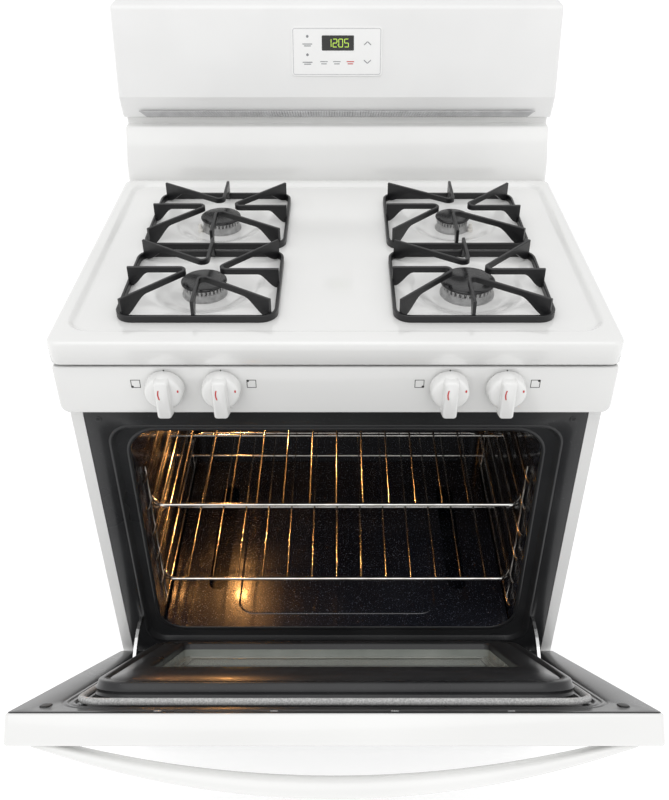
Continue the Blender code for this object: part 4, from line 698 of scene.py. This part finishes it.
def onPanel(loop, y):
    return frontRing(np.asarray(loop, float), y)


def makeKnobPanel():
    # a rounded outline, drawn in along a quarter arc as it nears the face
    low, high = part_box("knob_panel")
    centre, half = (part[[0, 2]] for part in middleAndHalf("knob_panel"))
    edge = panel["edge"]
    rows = [(0, high.y)]
    rows += [(inset, low.y + drop) for inset, drop in edgeArc(edge, 6)]
    rings = []
    for inset, y in rows:
        top, bottom = panel["highCorner"] + 1e-4 - min(inset, 0.0029), panel["lowCorner"] - inset
        loop = roundedLoop(half[0] - inset, half[1] - inset, (top, top, bottom, bottom), 2, 8, centre)
        rings.append(onPanel(loop, y))
    asPiece("knob_panel_face", [loft(rings, True, True)], "range_body", "whiteEnamel", ["knob_panel"])
    ticks = []
    for number in range(1, 5):
        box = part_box(f"knob_{number}")
        x, z = (box[0].x + box[1].x) / 2, box[1].z - knob["radius"]
        outer = -1 if number in (1, 3) else 1
        faces = []
        faces.append(roundedLoop(0.0009, 0.0046, 0.0007, 1, 3, (x, high.z - edge - 0.0062)))
        iconX, iconZ = x + outer * panel["iconOut"], z + 0.003
        h, m = panel["iconHalf"], panel["mark"]
        for a, b, wide, tall in ((-h, 0, m / 2, h), (h, 0, m / 2, h), (0, -h, h, m / 2), (0, h, h, m / 2)):
            faces.append(roundedLoop(wide + m / 4, tall + m / 4, m / 6, 1, 3, (iconX + a, iconZ + b)))
        dotA, dotB = {1: (-1, -1), 2: (-1, 1), 3: (1, -1), 4: (1, 1)}[number]
        dotPlace = (iconX + dotA * h * 0.8, iconZ + dotB * h * 0.8)
        faces.append(roundedLoop(0.0018, 0.0018, 0.0017, 1, 5, dotPlace))
        for loop in faces:
            ticks.append(loft([onPanel(loop, low.y + 0.0002), onPanel(loop, low.y - 0.00015)], True, True))
    asPiece("panel_marks", ticks, "range_body", "markBlack")


def gripLoop(inset, wide):
    # a long grip with a square head and a rounded tail, a little wider where it meets the skirt
    half = (knob["head"] + knob["tail"]) / 2 - inset
    head, tail = knob["headCorner"], knob["tailCorner"]
    middle = (0, (knob["head"] - knob["tail"]) / 2)
    return roundedLoop(knob["gripHalf"] - inset + wide, half, (head, head, tail, tail), 6, 8, middle)


def makeKnob(number):
    # a skirt turned from a profile, and a grip lofted from outlines that narrow outwards
    low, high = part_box(f"knob_{number}")
    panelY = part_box("knob_panel")[0].y
    centre = np.array([(low.x + high.x) / 2, panelY, high.z - knob["radius"]])
    r, a, b, top = knob["radius"], knob["skirtLow"], knob["skirtHigh"], knob["gripTop"]
    profile = [(0, a), (r - 0.0012, a), (r, a + 0.001), (r - 0.0012, b - 0.0035), (r - 0.0024, b - 0.0012),
               (r - 0.005, b), (r - 0.012, b + 0.0002), (0, b + 0.0004)]
    parts = [spun(profile, 72, centre, "front")]
    rings = []
    for inset, wide, out in ((0, 0.0022, b - 0.008), (0, 0.0018, b - 0.001), (0, 0.0012, b + 0.0015),
                             (0, 0, top - 0.0018), (0.0006, 0, top - 0.0006), (0.0018, 0, top)):
        rings.append(onPanel(gripLoop(inset, wide), -out) + centre)
    rings = np.array(rings)
    rings[:, :, 2] = np.maximum(rings[:, :, 2], low.z)
    parts.append(loft(rings, True, True))
    body = f"knob_{number}"
    asPiece(f"knob_{number}_body", parts, body, "knobPlastic", [f"knob_{number}"], 38)
    v = np.linspace(knob["lineLow"], knob["lineHigh"], 20)
    bow = -knob["lineLeft"] - 0.0012 * np.sin((v - v[0]) / (v[-1] - v[0]) * math.pi)
    wide = 0.0009
    loop = np.concatenate([np.stack([bow - wide, v], -1), np.stack([bow + wide, v], -1)[::-1]])
    strip = loft([onPanel(loop, -top + 0.0002) + centre, onPanel(loop, -top - 0.0001) + centre], True, True)
    drop = roundedLoop(0.0011, 0.0019, 0.0010, 1, 5, (r - 0.0062, 0.006))
    tear = loft([onPanel(drop, -b) + centre, onPanel(drop, -b - 0.0005) + centre], True, True)
    asPiece(f"knob_{number}_lines", [strip, tear], body, "markRed")


makeKnobPanel()
for number in range(1, 5):
    makeKnob(number)
print("controls made")

# front frame: gloss enamel ring with a bead round the seat and round the opening

# open and seat are each a half width, lowest and highest z, and corner
frontFrame = {"open": (0.302, 0.310, 0.740, 0.042), "seat": (0.324, 0.286, 0.752, 0.03), "outerCorner": 0.004,
              "screwX": 0.337, "screwZ": 0.768, "screwRadius": 0.0052, "deep": 0.0082}
# steps from the outside in: which loop, how far inside it, which depth, how far behind that
frameSteps = (("outer", 0, "back", 0), ("outer", 0, "front", 0.0012), ("outer", 0.0004, "front", 0.0004),
              ("outer", 0.0012, "front", 0), ("seat", -0.007, "front", 0), ("seat", -0.0058, "front", 0.0007),
              ("seat", -0.0046, "front", 0.0007), ("seat", -0.0036, "front", 0.0001),
              ("seat", -0.0016, "front", 0), ("seat", 0, "front", 0.0008), ("seat", 0.0035, "deep", -0.001),
              ("seat", 0.005, "deep", 0), ("open", -0.0075, "deep", 0), ("open", -0.0062, "deep", 0.0007),
              ("open", -0.005, "deep", 0), ("open", -0.003, "deep", -0.0006),
              ("open", -0.001, "deep", 0.0002), ("open", 0, "deep", 0.0016), ("open", 0, "back", 0))


def standingRing(halfX, lowZ, highZ, corner, y, sidePoints=4, cornerPoints=12):
    loop = roundedLoop(halfX, (highZ - lowZ) / 2, corner, sidePoints, cornerPoints, (0, (lowZ + highZ) / 2))
    return frontRing(loop, y)


def makeFrontFrame():
    # three rounded outlines stepped inwards, each step at its own depth
    low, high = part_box("front_frame")
    outer = (high.x, low.z, high.z, frontFrame["outerCorner"])
    loops = {"outer": outer, "seat": frontFrame["seat"], "open": frontFrame["open"]}
    front = low.y
    depths = {"front": front, "deep": front + frontFrame["deep"], "back": high.y}
    rings = []
    for loop, by, depth, more in frameSteps:
        wide, bottom, top, corner = loops[loop]
        corner = max(corner - by, 0.0005)
        rings.append(standingRing(wide - by, bottom + by, top - by, corner, depths[depth] + more))
    asPiece("front_frame_enamel", [loft(rings)], "range_body", "darkEnamel", ["front_frame"], 50)
    heads = []
    for sign in (-1, 1):
        centre = (sign * frontFrame["screwX"], front, frontFrame["screwZ"])
        r = frontFrame["screwRadius"]
        dome = [(0, 0.0001), (r * 0.35, 0.0001), (r * 0.45, 0.0004), (r * 0.8, 0.0006), (r, 0.0003)]
        heads.append(spun([*dome, (r, -0.0006), (0, -0.0006)], 28, centre, "front"))
        for a, b in ((0.62, 0.13), (0.13, 0.62)):
            loop = roundedLoop(a * r, b * r, 0.12 * r, 1, 3, (centre[0], centre[2]))
            heads.append(loft([frontRing(loop, front - 0.0002), frontRing(loop, front - 0.0007)], True, True))
    asPiece("frame_screws", heads, "range_body", "darkEnamel")


liner = {"corner": 0.04, "turn": 0.022, "gap": 0.001, "rearGap": 0.002, "firstDepth": 0.03, "turnIn": 0.0012,
         "mostTight": 0.03}


def makeLiner():
    # a box with rounded corners, open at the front, its rear edges rounded into the rear wall
    low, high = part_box("oven_liner")
    corner, turn, gap, rear = liner["corner"], liner["turn"], liner["gap"], high.y - liner["rearGap"]
    rows = [(0, low.y + gap)]
    rows += [(0, y) for y in np.linspace(low.y + liner["firstDepth"], rear - turn, 8)]
    rows += [(liner["turnIn"] + inset, rear - drop) for inset, drop in edgeArc(turn, 8)]
    rings = []
    for by, y in rows:
        tight = corner - min(by, liner["mostTight"])
        rings.append(standingRing(high.x - gap - by, low.z + gap + by, high.z - gap - by, tight, y, 6, 10))
    asPiece("oven_cavity", [loft(rings, False, True)], "range_body", "cavityEnamel", ["oven_liner"], 60)


makeFrontFrame()
makeLiner()

# oven inside: floor bead, racks and the ladders that carry them

rackShape = {"rim": 0.0030, "wire": 0.0016, "cross": 0.0024, "corner": 0.022, "wires": 13, "margin": 0.0405,
             "wireUp": 0.0009, "crossShare": 0.45, "crossRear": 0.070}
ladder = {"wire": 0.0024, "levels": 6, "postIn": 0.030, "postSpare": 0.012}
floorBead = {"half": 0.176, "front": 0.028, "rear": 0.06, "corner": 0.03, "wide": 0.004, "rise": 0.0012}


def makeRack(name):
    # a tube round the rim, wires from front to rear and two cross bars under them
    low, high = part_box(name)
    level = high.z - rackShape["wireUp"] - rackShape["wire"]
    halfX = high.x - rackShape["rim"]
    halfY = (high.y - low.y) / 2 - rackShape["rim"]
    middle = (low.y + high.y) / 2
    loop = roundedLoop(halfX, halfY, rackShape["corner"], 8, 8, (0, middle))
    parts = [tube(levelRing(loop, level), rackShape["rim"], (0, 0, 1), 12, True)]
    reach = halfX - rackShape["margin"]
    for x in np.linspace(-reach, reach, rackShape["wires"]):
        z = level + rackShape["wireUp"]
        path = np.array([(x, middle + s * halfY, z) for s in (-1, -0.5, 0, 0.5, 1)])
        parts.append(tube(path, rackShape["wire"], (0, 0, 1), 8))
    under = low.z + rackShape["cross"]
    for y in (middle - halfY + rackShape["crossShare"] * 2 * halfY, middle + halfY - rackShape["crossRear"]):
        parts.append(rod((-halfX, y, under), (halfX, y, under), rackShape["cross"], (0, 0, 1), 10))
    asPiece(name + "_wires", parts, name, "rackChrome", [name], 60)


def makeLadder(side, sign):
    # two posts, and rungs that bend inwards from them to hold the racks
    low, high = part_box(f"rack_support_{side}")
    wire = ladder["wire"]
    inner, outer = (high.x, low.x) if sign < 0 else (low.x, high.x)
    rungX, postX = inner + sign * wire, outer - sign * wire
    spare = ladder["postSpare"]
    parts = []
    for y in (low.y + ladder["postIn"], high.y - ladder["postIn"]):
        parts.append(rod((postX, y, low.z), (postX, y, high.z), wire, (0, 1, 0), 10))
    for z in np.linspace(low.z + spare, high.z - spare, ladder["levels"]):
        path = np.array([(postX, low.y + wire, z), (rungX, low.y + 0.012, z), (rungX, high.y - 0.012, z),
                         (postX, high.y - wire, z)])
        share = np.linspace(0, 3, 40)
        path = np.stack([np.interp(share, range(4), path[:, k]) for k in range(3)], -1)
        parts.append(tube(path, wire, (0, 0, 1), 10))
    asPiece(f"rack_ladder_{side}", parts, "range_body", "rackChrome", [f"rack_support_{side}"], 60)


def makeFloorBead():
    # a low ridge between two outlines, its height a hump across the width
    low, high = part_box("oven_floor")
    front, rear = low.y + floorBead["front"], high.y - floorBead["rear"]
    rings = []
    for inset, rise in ((0, 0), (0.3, 0.75), (0.5, 1), (0.7, 0.75), (1, 0)):
        by = inset * floorBead["wide"]
        loop = roundedLoop(floorBead["half"] - by, (rear - front) / 2 - by, floorBead["corner"] - by, 6, 10,
                           (0, (front + rear) / 2))
        rings.append(levelRing(loop, high.z - 0.0001 + rise * floorBead["rise"]))
    asPiece("floor_bead", [loft(rings)], "range_body", "cavityEnamel", sharp=60)


makeFloorBead()
makeRack("rack_upper")
makeRack("rack_lower")
makeLadder("left", -1)
makeLadder("right", 1)
print("oven made")

# door, worked out in its own frame: x across, depth into the oven, rise up the door

hinge = next(joint for joint in frame["joints"] if joint["name"] == "door_hinge")
doorLean = math.radians(-hinge["range_deg"][0])
doorPivot = np.array(hinge["pos_m"])


def doorToRow(points):
    x, depth, rise = np.moveaxis(np.asarray(points, float), -1, 0)
    y = doorPivot[1] + depth * math.cos(doorLean) - rise * math.sin(doorLean)
    z = doorPivot[2] + depth * math.sin(doorLean) + rise * math.cos(doorLean)
    return np.stack([x, y, z], -1)


def doorBox(node):
    mesh = frame["nodes"][node].data
    points = np.empty(len(mesh.vertices) * 3)
    mesh.vertices.foreach_get("co", points)
    points = points.reshape(-1, 3) - doorPivot
    depth = points[:, 1] * math.cos(doorLean) + points[:, 2] * math.sin(doorLean)
    rise = -points[:, 1] * math.sin(doorLean) + points[:, 2] * math.cos(doorLean)
    local = np.stack([points[:, 0], depth, rise], -1)
    return local.min(0), local.max(0)


door = {"skinEdge": 0.004, "skinBack": 0.003, "skinLip": 0.0205, "lipDrop": 0.0011, "rimFromEdge": 0.0024,
        "rimDepth": 0.01865, "recess": 0.02165, "plateau": 0.04365, "plateauTurn": 0.003,
        "clipX": (-0.205, -0.07, 0.07, 0.205), "clipHalf": (0.0045, 0.0022), "clipDown": 0.0085,
        "padX": 0.3445, "padHalf": (0.0062, 0.0105), "padDown": 0.040}
# each outline's half width, lowest and highest rise, and corner
doorShapes = {"window": (0.2444, 0.120, 0.3864, 0.018), "gasket": (0.311, 0.0453, 0.4923, 0.032),
              "plateau": (0.296, 0.0662, 0.4822, 0.046), "glass": (0.250, 0.0922, 0.3522, 0.012)}
# profiles as (inset, depth) steps; ridges and presses are repeated at the places beside them
doorProfiles = {"lip": ((-0.0004, -0.004), (-0.0004, -0.0006), (-0.001, 0)),
                "window": ((-0.006, 0), (-0.002, 0.0004), (0, 0.0016), (0, 0.0055)),
                "rim": ((0, -0.001), (0.0002, -0.0004), (0.001, 0)),
                "ridge": ((0, 0), (0.0012, -0.0012), (0.0034, -0.0012), (0.0048, 0)),
                "ridgesAt": (-0.024, -0.0165),
                "channel": ((-0.008, 0), (-0.006, -0.0022), (0.003, -0.0022), (0.005, 0)),
                "foot": ((-0.0058, 0.0004), (-0.0036, 0.0022)),
                "press": ((-0.0030, -0.0024), (-0.0045, 0), (-0.0026, 0.0022)), "pressesAt": (0.0072, 0.0146),
                "top": ((0.0115, 0), (0.0125, -0.0011), (0.0145, -0.0011), (0.0155, 0)),
                "well": ((-0.006, 0), (-0.0035, -0.0004), (-0.0015, -0.0022), (-0.0006, -0.005)),
                "floor": ((0, 0.0015), (0.0008, 0)),
                "band": ((0, 0.0006), (0.009, 0.0006), (0.0096, -0.0006), (0.014, -0.0006),
                         (0.0146, -0.0012), (0.018, -0.0012))}


def doorRing(shape, depth, sidePoints=4, cornerPoints=12):
    halfX, low, high, corner = shape
    loop = roundedLoop(halfX, (high - low) / 2, corner, sidePoints, cornerPoints, (0, (low + high) / 2))
    return doorToRow(np.column_stack([loop[:, 0], np.full(len(loop), depth), loop[:, 1]]))


def doorInset(shape, by):
    return (shape[0] - by, shape[1] + by, shape[2] - by, max(shape[3] - by, 0.0006))


def doorSteps(shape, base, steps):
    return [(doorInset(shape, by), base + depth) for by, depth in steps]


def makeDoorSkin():
    # rings from the lip over the back edge and the outer arc to the window
    low, high = doorBox("door_skin")
    outer = (high[0], low[2], high[2], 0.006)
    back, turn = high[1] - door["lipDrop"], door["skinBack"]
    rows = doorSteps(doorInset(outer, door["skinLip"]), back, doorProfiles["lip"])
    rows += doorSteps(outer, back, [(turn, 0)])
    rows += doorSteps(outer, back, [(drop, -inset) for inset, drop in edgeArc(turn, 5, 0.25)])
    rows += doorSteps(outer, low[1], edgeArc(door["skinEdge"], 8))
    rows += doorSteps(doorShapes["window"], low[1], doorProfiles["window"])
    skin = loft([doorRing(*row) for row in rows])
    asPiece("door_outer_skin", [skin], "door", "whiteEnamel", ["door_skin"], 50)


def makeInnerPanel():
    # rings from the rim inwards: ridges, gasket channel, plateau and glass well
    low, high = doorBox("door_inner_panel")
    skinHigh = doorBox("door_skin")[1]
    edge, face, top, turn = door["rimFromEdge"], door["rimDepth"], door["plateau"], door["plateauTurn"]
    rim = (skinHigh[0] - edge, low[2], skinHigh[2] - edge, 0.005)
    gasket, plateau, glass = (doorShapes[name] for name in ("gasket", "plateau", "glass"))
    rows = doorSteps(rim, face, doorProfiles["rim"])
    for start in doorProfiles["ridgesAt"]:
        # two soft bands of pressed ridge outside the gasket
        rows += doorSteps(gasket, face, [(start + by, depth) for by, depth in doorProfiles["ridge"]])
    rows += doorSteps(gasket, face, doorProfiles["channel"])
    rows += doorSteps(plateau, face, doorProfiles["foot"])
    for rise in doorProfiles["pressesAt"]:
        # two soft steps pressed in the plateau's wall
        rows += doorSteps(plateau, face + rise, doorProfiles["press"])
    rows += doorSteps(plateau, top, [(-0.0012, -turn)])
    rows += doorSteps(plateau, top, [(-0.0012 + 1.4 * inset, -drop) for inset, drop in edgeArc(turn, 6, 0.2)])
    rows += doorSteps(plateau, top, doorProfiles["top"])
    rows += doorSteps(glass, top, doorProfiles["well"])
    rows += doorSteps(glass, door["recess"], doorProfiles["floor"])
    asPiece("door_inner_enamel", [loft([doorRing(*row) for row in rows])], "door", "darkEnamel",
            ["door_inner_panel"], 50)
    wall = doorInset(glass, 0.0009)
    band = doorSteps(wall, top, [(0, -0.011)]) + doorSteps(wall, door["recess"], doorProfiles["band"])
    asPiece("door_pane_bands", [loft([doorRing(*row) for row in band])], "door", "paneBand")
    clipUp, padUp = rim[2] - door["clipDown"], rim[2] - door["padDown"]
    clips = [doorPad((x, clipUp), door["clipHalf"], face - 0.0006, face + 0.0006) for x in door["clipX"]]
    asPiece("door_clips", clips, "door", "hingeSteel")
    pads = [doorPad((sign * door["padX"], padUp), door["padHalf"], face - 0.001, face + 0.0011, 0.98)
            for sign in (-1, 1)]
    asPiece("door_bumpers", pads, "door", "blackRubber")


def doorPad(centre, half, low, high, roundness=0.4):
    corner = min(half) * roundness
    rings = []
    for inset, depth in ((0, low), (0, high - 0.0006), (0.0003, high - 0.0002), (0.0009, high)):
        loop = roundedLoop(half[0] - inset, half[1] - inset, max(corner - inset, 2e-4), 1, 8, centre)
        rings.append(doorToRow(np.column_stack([loop[:, 0], np.full(len(loop), depth), loop[:, 1]])))
    return loft(rings, True, True)


gasketBraid = {"radius": 0.0045, "turns": 420, "relief": 0.07, "sides": 14, "points": 2520,
               "depth": 0.02285}


def makeGasket():
    # a tube along the rounded path, its radius a product of two waves wound opposite ways
    wide, bottom, top, corner = doorShapes["gasket"]
    loop = roundedLoop(wide, (top - bottom) / 2, corner, 120, 16, (0, (top + bottom) / 2))
    closed = np.concatenate([loop, loop[:1]])
    length = np.concatenate([[0], np.cumsum(np.linalg.norm(np.diff(closed, axis=0), axis=1))])
    count = gasketBraid["points"]
    at = np.linspace(0, length[-1], count, endpoint=False)
    path = np.stack([np.interp(at, length, closed[:, 0]), np.full(count, gasketBraid["depth"]),
                     np.interp(at, length, closed[:, 1])], -1)
    around = np.linspace(0, 2 * math.pi, gasketBraid["sides"], endpoint=False)[None, :]
    along = (np.arange(count) / count * 2 * math.pi * gasketBraid["turns"])[:, None]
    wave = np.cos(along + around * 3) * np.cos(along - around * 3)
    radius = gasketBraid["radius"] * (1 - gasketBraid["relief"] * (0.5 - 0.5 * wave))
    points, faces = tube(path, radius, (0, 1, 0), gasketBraid["sides"], True)
    asPiece("door_gasket_braid", [(doorToRow(points), faces)], "door", "gasketBraid", ["door_gasket"], 80)


handle = {"foot": 0.01895, "outerRise": 0.0614, "outerHalf": 0.3604, "innerRise": 0.0384,
          "innerHalf": 0.3264, "halfTall": 0.014, "rise": 0.5120, "columns": 140, "sides": 28}


def makeHandle():
    # outer and inner curves are parabolas; between them a rounded section, drawn in at the two feet
    share = np.sin(np.linspace(-0.5, 0.5, handle["columns"]) * math.pi) * 0.9995
    x = share * handle["outerHalf"]
    outer = handle["outerRise"] * (1 - share ** 2)
    inner = handle["innerRise"] * np.clip(1 - (x / handle["innerHalf"]) ** 2, -0.02, None)
    middle, half = -handle["foot"] - (outer + inner) / 2, (outer - inner) / 2
    angle = np.linspace(0, 2 * math.pi, handle["sides"], endpoint=False)
    power = 0.62
    flat = np.sign(np.cos(angle)) * np.abs(np.cos(angle)) ** power
    tall = np.sign(np.sin(angle)) * np.abs(np.sin(angle)) ** power
    height = handle["halfTall"] * np.clip((1 - share ** 2) * 14, 0, 1) ** 0.5
    rings = np.stack([np.broadcast_to(x[:, None], (len(x), len(angle))),
                      middle[:, None] + half[:, None] * flat,
                      handle["rise"] + height[:, None] * tall], -1)
    bow = loft(doorToRow(rings), True, True)
    asPiece("door_handle_bow", [bow], "door", "handlePlastic", ["door_handle"], 60)


makeDoorSkin()
makeInnerPanel()
makeGasket()
makeHandle()
print("door made")

# drawer front

drawerFront = {"edge": 0.005, "corner": 0.005}


def makeDrawerFront():
    # a rounded outline, drawn in along a quarter arc as it nears the face
    low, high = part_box("drawer_front")
    edge = drawerFront["edge"]
    rows = [(0.0008, high.y), (0, high.y - 0.0008)]
    rows += [(inset, low.y + drop) for inset, drop in edgeArc(edge, 8)]
    rings = []
    for by, y in rows:
        corner = drawerFront["corner"] + 0.0002 - min(by, 0.0049)
        rings.append(standingRing(high.x - by, low.z + by, high.z - by, corner, y, 4, 8))
    asPiece("drawer_front_skin", [loft(rings, True, True)], "drawer", "whiteEnamel", ["drawer_front"], 50)


makeDrawerFront()

# finishes on the carried-over nodes, by the record's slots

slotFinish = {finishes[name]["slot"]: name for name in reversed(list(finishes))}
for node in frame["nodes"].values():
    for place in node.material_slots:
        slotName = place.material.name.rsplit(".", 1)[0] if place.material else ""
        place.material = finishOf(slotFinish.get(slotName, "brass"))
left = [node.name for node in frame["nodes"].values() if not node.hide_render
        and (not node.material_slots or node.material_slots[0].material.name not in finishMade)]
print("nodes still plain:", left)

# floor, light and camera

stageLook = {"size": 30.0, "light": (0.6, 0.6, 0.6), "dark": (0.58, 0.58, 0.58), "glow": 0.5}
lamps = {"world": 0.86, "sun": 0.75, "sunTilt": (26, -6, 0), "sunSoft": 60, "glow": 1.4,
         "glowColour": (1.0, 0.46, 0.14), "glowSoft": 0.012, "glowOff": (0, -0.03, -0.02)}
cameraLook = {"at": (0.0089, -1.0905, 1.5296), "tilt": 54.16, "lens": 39.91, "shiftX": -0.0095,
              "shiftY": -0.0025}


def makeStage():
    half = stageLook["size"]
    share = np.linspace(-half, half, 9)
    x, y = np.meshgrid(share, share)
    points, faces = sheetOf(np.stack([x, y, np.full_like(x, cadLow.z)], -1))
    mesh = bpy.data.meshes.new("floor")
    mesh.from_pydata(points.tolist(), [], faces)
    floor = bpy.data.objects.new("floor", mesh)
    bpy.context.scene.collection.objects.link(floor)
    paper = cloudy("white_enamel", stageLook["light"], stageLook["dark"], 0.6, (0.85, 0.95), (40, 0.01),
                   glow=((1, 1, 1), stageLook["glow"]))
    finishes["floorPaper"] = paper
    mesh.materials.append(finishOf("floorPaper"))


def makeLights():
    world = bpy.data.worlds.new("studio")
    bpy.context.scene.world = world
    world.use_nodes = True
    sky = world.node_tree.nodes["Background"]
    sky.inputs["Color"].default_value = (1, 1, 1, 1)
    sky.inputs["Strength"].default_value = lamps["world"]
    sun = bpy.data.lights.new("softSun", "SUN")
    sun.energy, sun.angle = lamps["sun"], math.radians(lamps["sunSoft"])
    high = bpy.data.objects.new("softSun", sun)
    high.rotation_euler = [math.radians(turn) for turn in lamps["sunTilt"]]
    bpy.context.scene.collection.objects.link(high)
    lampLow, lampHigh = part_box("oven_lamp")
    glow = bpy.data.lights.new("ovenGlow", "POINT")
    glow.energy, glow.color, glow.shadow_soft_size = lamps["glow"], lamps["glowColour"], lamps["glowSoft"]
    bulb = bpy.data.objects.new("ovenGlow", glow)
    front = Vector(((lampLow.x + lampHigh.x) / 2, lampLow.y, (lampLow.z + lampHigh.z) / 2))
    bulb.location = front + Vector(lamps["glowOff"])
    bpy.context.scene.collection.objects.link(bulb)


def makeCamera():
    lens = bpy.data.cameras.new("view")
    lens.lens, lens.sensor_width = cameraLook["lens"], 36
    lens.shift_x, lens.shift_y = cameraLook["shiftX"], cameraLook["shiftY"]
    camera = bpy.data.objects.new("view", lens)
    camera.location = cameraLook["at"]
    camera.rotation_euler = (math.radians(cameraLook["tilt"]), 0, 0)
    bpy.context.scene.collection.objects.link(camera)
    bpy.context.scene.camera = camera


makeStage()
makeLights()
makeCamera()
bpy.context.scene.view_settings.view_transform = "Standard"
print("scene ready")
